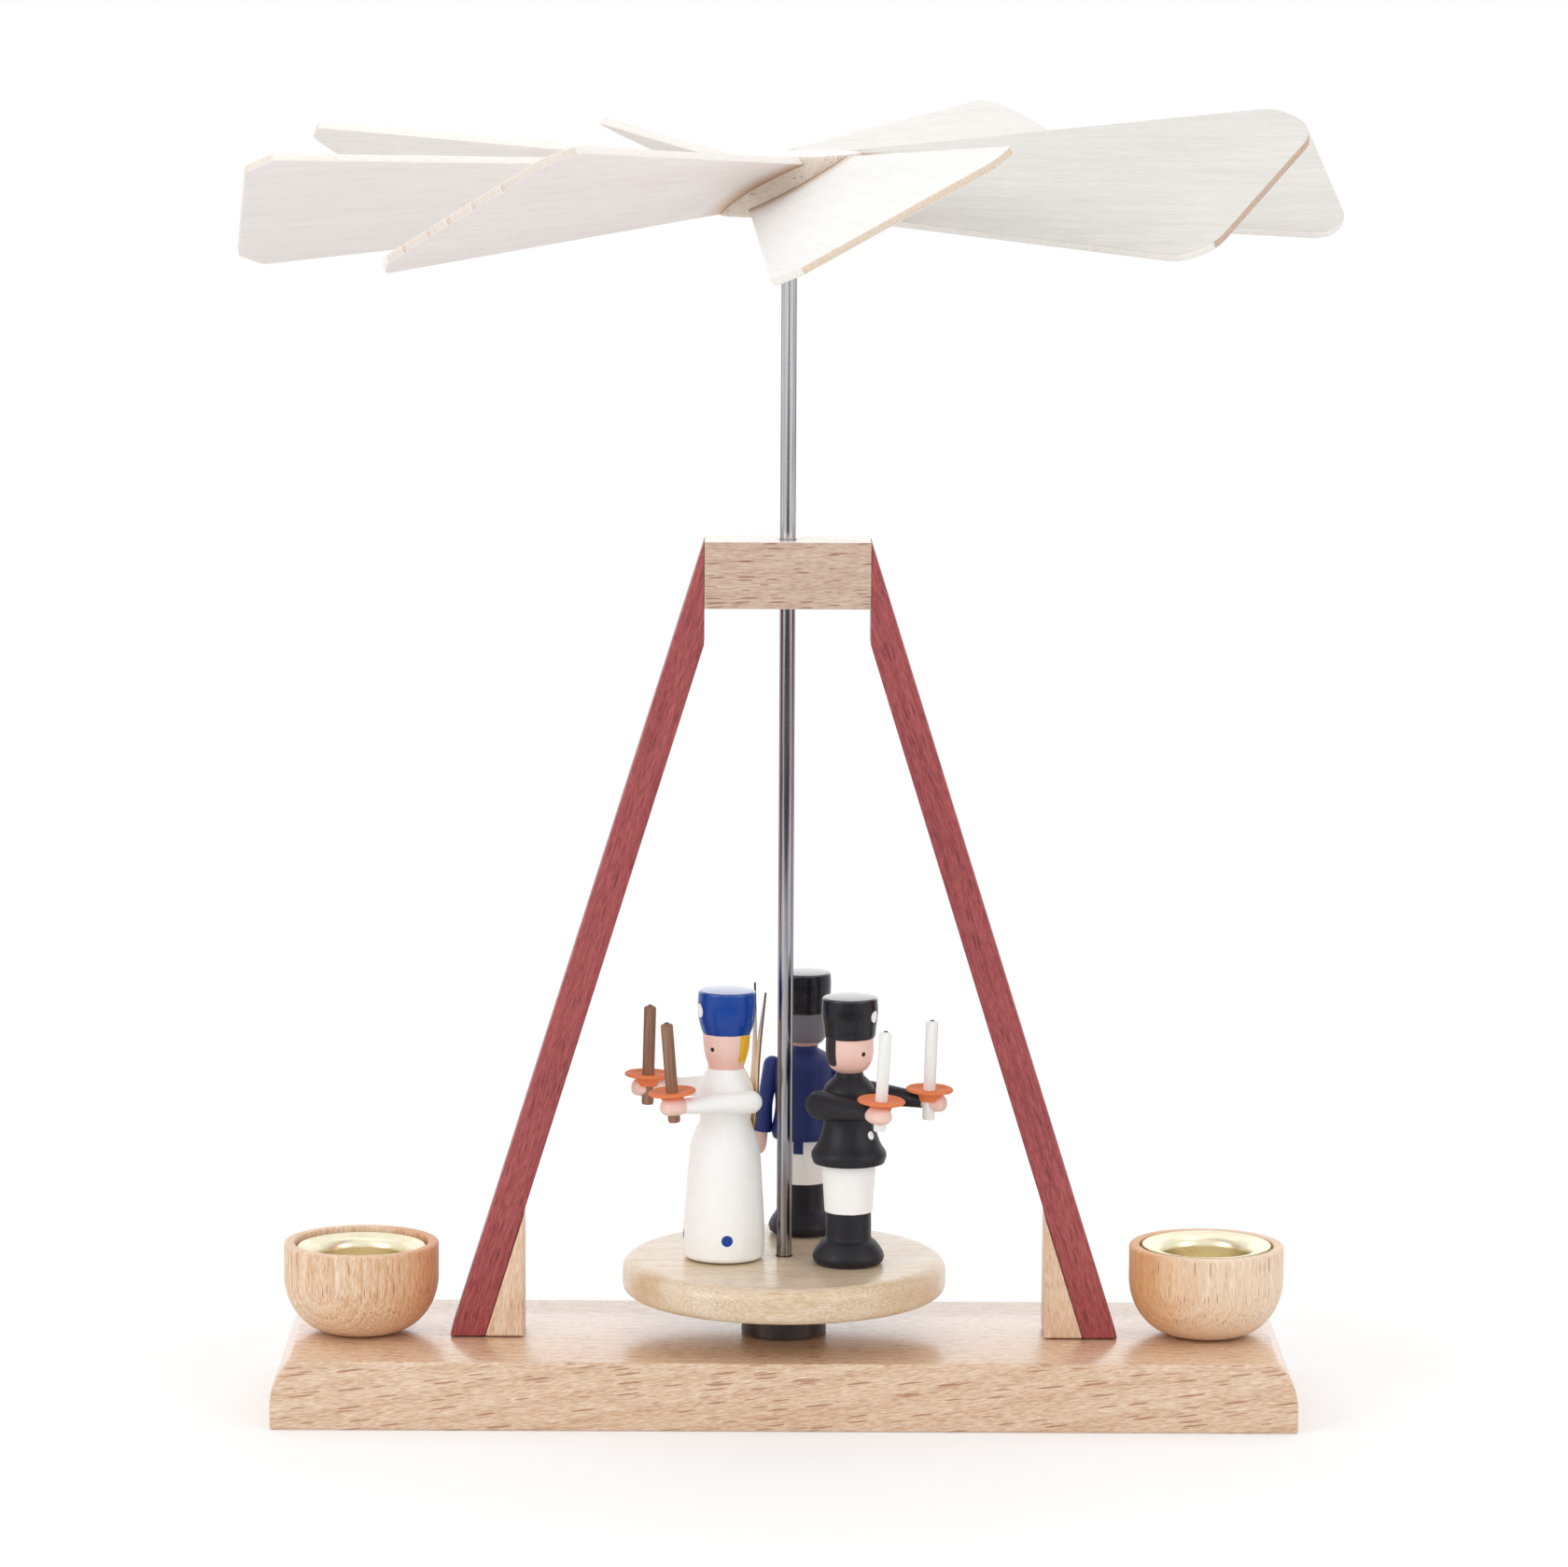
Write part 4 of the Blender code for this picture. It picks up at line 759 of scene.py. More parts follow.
def make_wedges():
    lean, width = strut_slope()
    foot_x = STRUT_FOOT_X - width - 2 * GLUE_LINE * math.sqrt(1 + lean ** 2)
    outline = [(WEDGE_INNER_X, SEAT_Z), (foot_x, SEAT_Z),
               (WEDGE_INNER_X, SEAT_Z + (foot_x - WEDGE_INNER_X) / lean)]
    for side, sign in SIDES.items():
        material = wood("beech_wedge_" + side, "f8e4ce", "d8ad88", "a4683f",
                        turn=(0.0, math.pi / 2 + sign * 0.1, 0.0), fleck_length=5.0, fleck_pitch=0.6,
                        fleck_size=0.26, fleck_strength=0.4, seed=8.0 + sign)
        make_frame_piece("wedge", side, outline, material)


def beam_with_bore(bore_steps=32):
    """The beam as a block with a round bore through it."""
    half, deep = BEAM_LENGTH / 2, FRAME_DEPTH / 2
    block = ((-half, -deep), (half, -deep), (half, deep), (-half, deep))
    bore = arc((0.0, 0.0), SHAFT_HOLE_RADIUS, 0.0, 360.0, bore_steps)[:-1]
    solid = bmesh.new()
    levels = []
    for z in (BEAM_TOP_Z - BEAM_HEIGHT, BEAM_TOP_Z):
        rings = [[solid.verts.new((x, y, z)) for x, y in ring] for ring in (block, bore)]
        fill(solid, [solid.edges.new(pair) for ring in rings for pair in around(ring)])
        levels.append(rings)
    for lower, upper in zip(*levels):
        bridge(solid, lower, upper)
    bmesh.ops.recalc_face_normals(solid, faces=solid.faces)
    bmesh.ops.dissolve_limit(solid, angle_limit=math.radians(1.0), verts=solid.verts, edges=solid.edges)
    ease_edges(solid, FRAME_EASE, angle_degrees=60.0)
    return solid


def make_crossbeam():
    solid = beam_with_bore()
    material = wood("beech_beam", "e6d0bd", "b48f76", "94563f", turn=(0.0, math.radians(2.0), 0.0),
                    ring_share=0.08, speckle_share=0.42, fleck_length=6.0, fleck_pitch=0.42, seed=15.3,
                    pith=(50.0, 60.0), Coat_Weight=0.6, Coat_Roughness=0.25)
    # Painted light: the beam's top face is nearly white, as lit from above.
    top = edge_wood("beam_top_painted_light", "fffaf2", "efe0cf", lines=(0.2, 3.0, 3.0), specks=0.1,
                    Coat_Weight=1.0, Coat_Roughness=0.2, Coat_IOR=1.7)
    for face in solid.faces:
        face.material_index = 1 if face.normal.z > 0.9 else 0
    new_piece("beam", solid, [material, top], "root", "crossbeam")


def make_bearing():
    pocket = CUP_RADIUS + SEAT_GAP
    floor = BLOCK_TOP_Z - CUP_POCKET_DEPTH
    profile = [(0.0, floor), (pocket, floor), (pocket, BLOCK_TOP_Z)]
    profile += arc((BLOCK_RADIUS - BLOCK_EASE, BLOCK_TOP_Z - BLOCK_EASE), BLOCK_EASE, 90.0, 0.0)
    profile += [(BLOCK_RADIUS, SEAT_Z), (0.0, SEAT_Z)]
    # Its dark brown is partly the wood's own and partly painted shade from under the turntable.
    material = wood("dark_wood", "3c241f", "241614", "181010", turn=(0.0, math.pi / 2, 0.0),
                    fleck_length=4.0, fleck_pitch=0.5, roughness=0.35)
    turned_piece("bearing_block_fine", profile, [material], "root", "bearing_block")


# Candle bowls

def bowl_profile(ledge_z):
    """From the well's floor over the ledge and the rim down the round outside."""
    rim_z = SEAT_Z + BOWL_HEIGHT
    well_radius = INSERT_HOLE_RADIUS + INSERT_WALL + SEAT_GAP
    well_floor = ledge_z - INSERT_DEPTH - INSERT_WALL
    rim_inner = BOWL_RADIUS - BOWL_RIM_WIDTH
    inner, outer = BOWL_RIM_INNER_ROUND, BOWL_RIM_OUTER_ROUND
    curve_height = (BOWL_HEIGHT - BOWL_STRAIGHT_HEIGHT) / math.sin(BOWL_CURVE_END)
    curve_width = (BOWL_RADIUS - BOWL_FOOT_RADIUS) / (1 - math.cos(BOWL_CURVE_END))
    profile = [(0.0, well_floor), (well_radius, well_floor), (well_radius, ledge_z), (rim_inner, ledge_z)]
    profile += arc((rim_inner + inner, rim_z - inner), inner, 180.0, 90.0, 4)
    profile += arc((BOWL_RADIUS - outer, rim_z - outer), outer, 90.0, 0.0, 6)
    profile += arc((BOWL_RADIUS - curve_width, rim_z - BOWL_STRAIGHT_HEIGHT), (curve_width, curve_height),
                   0.0, -math.degrees(BOWL_CURVE_END), 28)
    return profile + [(0.0, SEAT_Z)]


def insert_profile(ledge_z):
    """Flared flange, rolled lip and closed cup."""
    bottom = ledge_z + SEAT_GAP
    top = bottom + INSERT_WALL
    outside = INSERT_HOLE_RADIUS + INSERT_WALL
    floor = ledge_z - INSERT_DEPTH
    roll = INSERT_LIP_ROUND
    inner, outer = INSERT_FLOOR_ROUND
    profile = [(0.0, floor + INSERT_WALL)]
    profile += arc((INSERT_HOLE_RADIUS - inner, floor + INSERT_WALL + inner), inner, -90.0, 0.0, 8)
    profile += arc((INSERT_HOLE_RADIUS + roll, top - roll), roll, 180.0, 90.0, 12)
    profile += smooth_curve([(INSERT_HOLE_RADIUS + roll, top), (11.4, top + 0.14),
                             (FLANGE_RADIUS - 0.15, top + INSERT_WALL)])[1:]
    profile += [(FLANGE_RADIUS, top + INSERT_WALL - 0.1), (FLANGE_RADIUS, bottom + INSERT_WALL)]
    profile += [(outside + 0.6, bottom), (outside, bottom - 0.6)]
    profile += arc((outside - outer, floor + outer), outer, 0.0, -90.0, 8)
    return profile + [(0.0, floor)]


def make_bowl(side, gold, pith, contrast, shade_tone):
    sign = SIDES[side]
    place = place_at((sign * BOWL_X, 0.0, 0.0))
    # Painted shade: the bowl darkens towards the middle of the pyramid, on the side away from its light.
    material = wood("beech_bowl_" + side, "fdedd8", "d7a87c", "9a6038", turn=(0.0, math.pi / 2, 0.0),
                    pith=pith, ring=1.3, ring_share=contrast * 0.4, speckle_share=contrast,
                    fleck_length=5.0, fleck_pitch=0.45, fleck_size=0.34, fleck_strength=0.6,
                    seed=20.0 + sign, wander=1.2, painted_shading=("x", 0.0, -15.0 * sign, shade_tone))
    ledge_z = SEAT_Z + BOWL_HEIGHT - INSERT_SEAT_DEPTHS[side]
    turned_piece("bowl_" + side, bowl_profile(ledge_z), [material], "root",
                 "candle_bowl_" + side, place, 128)
    turned_piece("insert_" + side, insert_profile(ledge_z), [gold], "root",
                 "candle_insert_" + side, place, 128, sharp_degrees=50.0)


# Shaft and turntable

def make_shaft():
    point_length, point_radius = SHAFT_POINT
    profile = [(0.0, SHAFT_TOP_Z), (SHAFT_RADIUS - SHAFT_CHAMFER, SHAFT_TOP_Z),
               (SHAFT_RADIUS, SHAFT_TOP_Z - SHAFT_CHAMFER), (SHAFT_RADIUS, SHAFT_TIP_Z + point_length),
               (point_radius, SHAFT_TIP_Z), (0.0, SHAFT_TIP_Z)]
    turned_piece("shaft_fine", profile, [steel()], "rotor", "shaft", steps=48)


def make_turntable():
    upper, lower = TABLE_TOP_ROUND, TABLE_UNDER_ROUND
    profile = [(SHAFT_HOLE_RADIUS, TABLE_TOP_Z)]
    profile += arc((TABLE_RADIUS - upper, TABLE_TOP_Z - upper), upper, 90.0, 0.0, 10)
    profile += arc((TABLE_RADIUS - lower, TABLE_BOTTOM_Z + lower), lower, 0.0, -90.0, 6)
    profile += [(SHAFT_HOLE_RADIUS, TABLE_BOTTOM_Z)]
    material = wood("pale_wood", "f1e3cf", "d0b085", "ba9265", pith=(80.0, -30.0), ring=4.0,
                    ring_share=0.08, tone_share=0.4, fleck_length=12.0, fleck_pitch=1.0, fleck_size=0.25,
                    fleck_strength=0.4, roughness=0.42, relief=0.02, seed=30.0,
                    Coat_Weight=0.9, Coat_Roughness=0.24, Coat_IOR=1.45)
    turned_piece("disc", profile, [material], "rotor", "turntable", steps=160, closed=True)


# Wheel

def blade_half_chord(radius):
    share = (radius - BLADE_ROOT_RADIUS) / (BLADE_TIP_RADIUS - BLADE_ROOT_RADIUS)
    return (BLADE_ROOT_CHORD + (BLADE_TIP_CHORD - BLADE_ROOT_CHORD) * share) / 2


def blade_outline(rounding, torn_places=()):
    """The blade with softly rounded clipped corners, and small torn notches along some tips."""
    clip_radius = BLADE_TIP_RADIUS - BLADE_CLIP[0]
    clip_half = blade_half_chord(clip_radius)
    tip_half = BLADE_TIP_CHORD / 2 - BLADE_CLIP[1]
    root_half = BLADE_ROOT_CHORD / 2
    rounded = rounded_corners([(BLADE_ROOT_RADIUS, -root_half), (clip_radius, -clip_half),
                               (BLADE_TIP_RADIUS, -tip_half), (BLADE_TIP_RADIUS, tip_half),
                               (clip_radius, clip_half), (BLADE_ROOT_RADIUS, root_half)], rounding)
    middle = len(rounded) // 2
    before, after = TORN_WIDTHS
    notches = []
    for share in torn_places:
        spot = share * tip_half
        notches += [(BLADE_TIP_RADIUS, spot - before), (BLADE_TIP_RADIUS - TORN_DEPTH, spot),
                    (BLADE_TIP_RADIUS, spot + after)]
    return rounded[:middle] + notches + rounded[middle:]


def blade_surface(face):
    """Which of a blade's materials a face has: 0 face, 1 tip, 2 side, 3 torn notch."""
    centre = face.calc_center_median()
    if abs(face.normal.z) > 0.5:
        return 0
    if centre.x < BLADE_TIP_RADIUS - 0.1 and abs(centre.y) < BLADE_TIP_CHORD / 2 - BLADE_CLIP[1] - 2.5:
        return 3
    return 1 if face.normal.x > (0.35 if centre.y > 0.0 else 0.9) else 2


def make_blade(index, place):
    """One thin blade; its grain lies along it, while its object is only shifted, not turned."""
    number = index + 1
    rounding, pale, deep = BLADES[index][2:]
    torn = TORN_PLACES if index == TORN_BLADE else ()
    solid = outline_solid(blade_outline(rounding, torn), BLADE_THICKNESS, upright=False)
    for face in solid.faces:
        face.material_index = blade_surface(face)
    ease_edges(solid, BLADE_EASE, 2, 50.0)
    turn = place.to_3x3()
    bmesh.ops.rotate(solid, verts=solid.verts, cent=(0.0, 0.0, 0.0), matrix=turn)
    grain = tuple(turn.inverted().to_euler())
    # Painted shade: the blade faces darken towards the hub, between the blades.
    surfaces = [
        wood("blade_wood_%d" % number, pale, deep, "dcc9bd", turn=grain, pith=(30.0 + 7 * index, -18.0),
             ring=3.4, ring_share=0.1, fibre_share=0.5, speckle_share=0.2, tone_share=0.3,
             fleck_length=16.0, fleck_pitch=1.1, fleck_size=0.25, fleck_strength=0.15, roughness=0.62,
             relief=0.015, seed=40.0 + 3 * index, painted_shading=("radius", 22.0, 13.0, "ddbfa2")),
        edge_wood("blade_tip_%d" % number, *OTHER_TIP_COLOURS.get(index, TIP_COLOUR), turn=grain),
        edge_wood("blade_side_%d" % number, "fdfaf6", "f4eee6", turn=grain, lines=(0.2, 4.0, 4.0),
                  specks=0.05),
    ]
    if torn:
        surfaces.append(edge_wood("blade_torn_%d" % number, "f0dfd3", "dcc2b2", turn=grain))
    new_piece("blade_%d_fine" % number, solid, surfaces, "rotor", "blade_%d" % number,
              Matrix.Translation(place.to_translation()))


def cut_slots(hub, places):
    """Cut the blades' slots out of the hub, with a hair's clearance."""
    ends = [(radius, blade_half_chord(radius) + SLOT_ROOM)
            for radius in (BLADE_ROOT_RADIUS - 0.05, HUB_RADIUS + SLOT_BEYOND)]
    outline = [(radius, -half) for radius, half in ends] + [(radius, half) for radius, half in reversed(ends)]
    tools = []
    for place in places:
        solid = outline_solid(outline, BLADE_THICKNESS + 2 * SLOT_ROOM, upright=False)
        tool = linked("slot", mesh_from("slot", solid), place)
        cut = hub.modifiers.new("slot", "BOOLEAN")
        cut.operation = "DIFFERENCE"
        cut.solver = "EXACT"
        cut.object = tool
        tools.append(tool)
    bpy.context.view_layer.update()
    depsgraph = bpy.context.evaluated_depsgraph_get()
    mesh = bpy.data.meshes.new_from_object(hub.evaluated_get(depsgraph))
    hub.modifiers.clear()
    hub.data = mesh
    for tool in tools:
        bpy.data.objects.remove(tool, do_unlink=True)


def make_hub(wheel, places):
    half = HUB_HEIGHT / 2
    flat_radius = HUB_RADIUS - HUB_EASE
    profile = [(0.0, half)] + arc((flat_radius, half - HUB_EASE), HUB_EASE, 90.0, 0.0, 5)
    profile += arc((flat_radius, HUB_EASE - half), HUB_EASE, 0.0, -90.0, 5)
    profile += [(SHAFT_HOLE_RADIUS, -half), (SHAFT_HOLE_RADIUS, HUB_BORE_END), (0.0, HUB_BORE_END)]
    material = wood("hub_wood", "f4eee8", "dfd0c0", "c8ac92", turn=(0.0, 0.0, 0.4), ring_share=0.3,
                    fleck_length=7.0, roughness=0.62, seed=70.0)
    hub = turned_piece("hub", profile, [material], "rotor", "rotor_hub", wheel, 128)
    cut_slots(hub, places)
    hub.data.set_sharp_from_angle(angle=math.radians(32.0))
    # The slot walls are sawn wood, and their deeper brown is partly painted shade in the slots.
    hub.data.materials.append(edge_wood("slot_wall", "dcb98f", "b5865a"))
    # Painted light: the hub's top face is white, as lit from above.
    hub.data.materials.append(edge_wood("hub_top_painted_light", "ffffff", "f8f4ec", specks=0.1))
    for face in hub.data.polygons:
        centre = face.center / MM
        from_axis = math.hypot(centre.x, centre.y)
        if SHAFT_HOLE_RADIUS + 0.1 < from_axis < flat_radius - 0.1 and abs(centre.z) < half - 0.05:
            face.material_index = 1
        elif centre.z > half - 0.02:
            face.material_index = 2


def make_wheel():
    wheel = place_at((0.0, 0.0, HUB_CENTRE_Z), (*WHEEL_LEAN, 0.0))
    places = []
    for index, blade in enumerate(BLADES):
        turn, rise = blade[:2]
        angle = FIRST_BLADE_TURN + index * math.tau / len(BLADES) + math.radians(turn)
        places.append(wheel @ place_at((0.0, 0.0, 0.0), (BLADE_PITCH, -math.radians(rise), angle)))
        make_blade(index, places[-1])
    make_hub(wheel, places)


# Arms, plates and candles

def arm_profile(length, shoulder_radius):
    """Fist, sleeve with a cuff edge that widens to the shoulder, and the round shoulder."""
    hand_end = length + FIST_LENGTH / 2
    cuff = length - FIST_LENGTH / 2
    hand = [(0.0, hand_end), (HAND_RADIUS * 0.5, hand_end - 0.12), (HAND_RADIUS * 0.85, hand_end - 0.7),
            (HAND_RADIUS, hand_end - 1.8), (HAND_RADIUS * 0.97, cuff + 1.1), (WRIST_RADIUS * 0.92, cuff)]
    sleeve = [(WRIST_RADIUS, cuff - 0.15), (WRIST_RADIUS * 1.02, cuff - 1.0),
              (shoulder_radius * 0.93, length * 0.35), (shoulder_radius, 0.6)]
    return smooth_curve(hand, 5) + smooth_curve(sleeve, 5) + arc((0.0, 0.0), shoulder_radius, 0.0, -90.0, 10)


def shoulder_offset(chest_radius, sleeve_radius, flat_depth):
    return chest_radius - ARM_SEAT_DEPTH + SEAT_GAP + sleeve_radius - flat_depth


def plate_profile():
    """A thin dish with a rounded rim and the cone below it."""
    top_z = PLATE_HEIGHT + PLATE_THICKNESS
    rim_z = top_z + PLATE_DISH
    socket_z = PLATE_HEIGHT - SOCKET_DEPTH
    bore = CANDLE_RADIUS + CANDLE_ROOM
    upper = [(bore, top_z), (PLATE_RADIUS * 0.6, top_z + 0.02), (PLATE_RADIUS * 0.94, rim_z)]
    rim = arc((PLATE_RADIUS - PLATE_RIM_ROUND, rim_z - PLATE_THICKNESS / 2), PLATE_RIM_ROUND, 80.0, -80.0)
    under = [(PLATE_RADIUS * 0.8, PLATE_HEIGHT + 0.24), (SOCKET_RADIUS + SOCKET_FLARE, PLATE_HEIGHT),
             (SOCKET_RADIUS + 0.25, PLATE_HEIGHT - 0.7), (SOCKET_RADIUS, socket_z)]
    return smooth_curve(upper) + rim + smooth_curve(under, 5) + [(bore, socket_z)]


def candle_profile():
    """A stick with a blunt, uneven tip."""
    tip = [(0.0, 0.0), (0.3, 0.02), (0.55, 0.22), (0.8, 0.3), (1.05, 0.42), (CANDLE_RADIUS, 0.7)]
    return [(radius, CANDLE_TOP - drop) for radius, drop in tip] + [
        (CANDLE_RADIUS, CANDLE_BOTTOM + 0.4), (CANDLE_RADIUS * 0.9, CANDLE_BOTTOM), (0.0, CANDLE_BOTTOM)]


def flatten_below(solid, length, share):
    """Draw the underside of the wrist and fist in; the local X axis points down."""
    for vertex in solid.verts:
        if vertex.co.x > 0.0:
            reach = min(max((vertex.co.z / length - 0.25) / 0.6, 0.0), 1.0)
            vertex.co.x *= 1.0 - share * reach


def make_carrying_arm(name, figure, chest_radius, sleeve, sticks, plates, arm):
    """One arm with its plate and candle: side, forward, out, rise, shoulder rise, lean, shoulder radius."""
    side, forward, out, rise, shoulder_rise, lean, shoulder_radius = arm
    sign = -SIDES[side]
    offset = shoulder_offset(chest_radius, SLEEVE_RADIUS, ARM_FLAT_DEPTH)
    shoulder = Vector((-SHOULDER_BACK, sign * offset, SHOULDER_Z + shoulder_rise))
    fist = Vector((forward + FIST_BEYOND, sign * (out + GRIP_OFFSET), SHOULDER_Z + rise))
    reach = fist - shoulder
    turn = (0.0, math.acos(reach.z / reach.length), math.atan2(reach.y, reach.x))
    material = arm_paint("%s_arm_paint_%s" % (name, side), sleeve, reach.length - FIST_LENGTH / 2)
    solid = turned_solid(arm_profile(reach.length, shoulder_radius), 48)
    flatten_below(solid, reach.length, FIST_FLAT)
    new_piece("%s_sleeve_%s" % (name, side), solid, [material], "rotor",
              "%s_arm_%s" % (name, side), figure @ place_at(shoulder, turn))
    grip = figure @ place_at((forward, sign * out, fist.z), (0.0, math.radians(lean), 0.0))
    turned_piece("%s_plate_%s" % (name, side), plate_profile(), [plates], "rotor",
                 "%s_drip_plate_%s" % (name, side), grip, 64, closed=True)
    turned_piece("%s_stick_%s" % (name, side), candle_profile(), [sticks], "rotor",
                 "%s_candle_%s" % (name, side), grip, 32)


# Angel

def hat_profile(top_z, brim_z, hat_radius, brim_radius):
    """A nearly flat crown with a small round edge, and sides that draw in to the head."""
    height = top_z - brim_z
    edge_radius = hat_radius * 0.985
    edge_z = top_z - 0.47
    edge_round = 0.55
    crown = [(0.0, top_z - 0.25), (hat_radius * 0.5, top_z - 0.3), (edge_radius - edge_round, edge_z)]
    edge = arc((edge_radius - edge_round, edge_z - edge_round), edge_round, 80.0, 5.0, 5)
    side = [(edge_radius, top_z - height * 0.15), (hat_radius, top_z - height * 0.34),
            (edge_radius, top_z - height * 0.55), (hat_radius * 0.94, top_z - height * 0.75),
            ((hat_radius + brim_radius * 3) / 4, brim_z + height * 0.09), (brim_radius, brim_z + 0.15)]
    return smooth_curve(crown, 3) + edge + smooth_curve(side, 5) + [(brim_radius - 0.12, brim_z)]


def angel_profile():
    hat = hat_profile(ANGEL_HAT_TOP_Z, ANGEL_BRIM_Z, 5.75, 4.75)
    head = smooth_curve([(4.65, ANGEL_BRIM_Z), (4.58, 43.08), (4.32, 41.0), (3.4, ANGEL_NECK_Z)])
    robe = smooth_curve([(3.55, ANGEL_NECK_Z), (4.3, 36.6), (5.05, 35.1), (5.6, 33.4), (5.66, 30.8),
                         (5.05, 27.7), (6.05, 25.0), (6.9, 21.6), (7.6, 12.53), (7.98, 6.0), (8.05, 2.2)])
    return hat + head + robe + arc((7.1, 0.95), 0.95, 10.0, -90.0, 8) + [(0.0, 0.0)]


def wing_outline():
    """Both wings in one outline, with the heights counted from the shoulders."""
    height = WING_TOP_Z - WING_LOW_Z
    half = smooth_curve([(x, WING_LOW_Z + height * share) for x, share in WING_EDGE], 5)
    half += smooth_curve([(x, WING_LOW_Z + height * share) for x, share in WING_NOTCH], 5)[1:]
    half = [(x, z - SHOULDER_Z) for x, z in half]
    return half + [(-x, z) for x, z in reversed(half)][1:-1]


def drawn_in(outline, distance):
    """The outline moved inwards, for a border of even width."""
    result = []
    for index, point in enumerate(outline):
        along = Vector(outline[(index + 1) % len(outline)]) - Vector(outline[index - 1])
        inward = Vector((-along.y, along.x)).normalized()
        result.append(tuple(Vector(point) + inward * distance))
    return result


def make_wings(figure):
    """Flat wings: the outer walls are scorched dark, and the faces carry how near the outline is."""
    outline = wing_outline()
    inner = drawn_in(outline, WING_BORDER)
    solid = bmesh.new()
    scorch = solid.verts.layers.float.new("scorch")
    borders = []
    for x in (-WING_THICKNESS / 2, WING_THICKNESS / 2):
        border = [solid.verts.new((x, y, z)) for y, z in outline]
        middle = [solid.verts.new((x, y, z)) for y, z in inner]
        for vertex in border:
            vertex[scorch] = 1.0
        bridge(solid, border, middle)
        fill(solid, [solid.edges.get(pair) for pair in around(middle)])
        borders.append(border)
    notch_half = WING_NOTCH[1][0]
    for wall, (start, end) in zip(bridge(solid, *borders), around(outline)):
        in_notch = start[1] > WING_NOTCH_Z and min(abs(start[0]), abs(end[0])) < notch_half
        wall.material_index = 2 if in_notch else 1
    surfaces = [wing_wood(), edge_wood("scorched_edge", "7d4f3c", "43241f"),
                edge_wood("notch_edge", "efe0cc", "d8bd98")]
    mount = figure @ place_at((-WING_X, 0.0, SHOULDER_Z), (0.0, -WING_LEAN, -WING_TURN))
    new_piece("wings", solid, surfaces, "rotor", "angel_wings", mount, smooth=False)


def make_angel(plates):
    figure = place_at((-12.0, -1.8, FIGURE_Z), (0.0, -math.radians(0.6), math.radians(200.0)))
    turned_piece("angel", angel_profile(), [angel_paint()], "rotor", "angel_body", figure)
    sticks = candle_paint("brown_stick", "9d765d", "765541", "4a352a")
    for arm in (("left", 13.6, 7.6, 0.0, 0.0, 5.5, SLEEVE_RADIUS),
                ("right", 13.6, 7.6, 0.8, 0.8, -0.9, SLEEVE_RADIUS)):
        make_carrying_arm("angel", figure, ANGEL_CHEST_RADIUS, WHITE, sticks, plates, arm)
    make_wings(figure)


# Miners

def miner_profile(hat_radius, chest_radius, waist_radius, waist_z, hem_radius, hem_z, trouser_radius):
    """Hat, head, coat with a waist, trousers and boots on a bell-shaped foot."""
    brim_z, neck_z, head_radius = MINER_BRIM_Z, MINER_NECK_Z, MINER_HEAD_RADIUS
    hat = hat_profile(MINER_HAT_TOP_Z, brim_z, hat_radius, head_radius + 0.25)
    height = brim_z - neck_z
    head = [(head_radius - 0.05, brim_z), (head_radius, brim_z - height * 0.4),
            (head_radius * 0.93, neck_z + height * 0.3), (head_radius * 0.78, neck_z + height * 0.1),
            (2.7, neck_z)]
    drop = neck_z - SHOULDER_Z
    flare = waist_z - hem_z
    coat = [(2.7, neck_z - drop * 0.04), (2.85, neck_z - drop * 0.14),
            (chest_radius * 0.74, neck_z - drop * 0.3), (chest_radius * 0.93, neck_z - drop * 0.5),
            (chest_radius, neck_z - drop * 0.75), (chest_radius, SHOULDER_Z - drop * 0.2),
            (waist_radius, waist_z),
            (waist_radius + (hem_radius - waist_radius) * 0.45, waist_z - flare * 0.45),
            (hem_radius, hem_z + flare * 0.27), (hem_radius * 0.95, hem_z + 0.3)]
    trousers = [(trouser_radius, hem_z + 0.05), (trouser_radius, hem_z - 0.3), (4.72, 10.25), (4.45, 10.15)]
    boots = smooth_curve([(4.45, 10.15), (4.5, 7.5), (4.5, 5.3), (4.75, 4.7), (5.5, 4.1)], 5)
    foot = smooth_curve([(5.5, 4.1), (6.5, 2.7), (7.05, 1.4), (6.85, 0.3)], 5)[1:]
    body = smooth_curve(head) + smooth_curve(coat, 5) + trousers + boots + foot
    return hat + body + [(6.4, 0.0), (0.0, 0.0)]


def make_black_miner(plates):
    figure = place_at((12.6, -6.3, FIGURE_Z), (0.0, 0.0, math.radians(-36.0)))
    profile = miner_profile(5.55, MINER_CHEST_RADIUS, 5.1, 27.6, 7.4, 19.7, 5.3)
    paint = miner_paint("miner_paint", BLACK, HAIR_DARK, 19.75, 39.5, 7.0)
    turned_piece("miner", profile, [paint], "rotor", "miner_body", figure)
    sticks = candle_paint("white_stick", "fbfbf9", "ecece8", "3c3836")
    for arm in (("right", 13.3, 8.4, 0.0, 0.0, 3.9, 2.8), ("left", 13.0, 8.7, -0.4, 1.1, 2.1, 2.4)):
        make_carrying_arm("miner", figure, MINER_CHEST_RADIUS, BLACK, sticks, plates, arm)


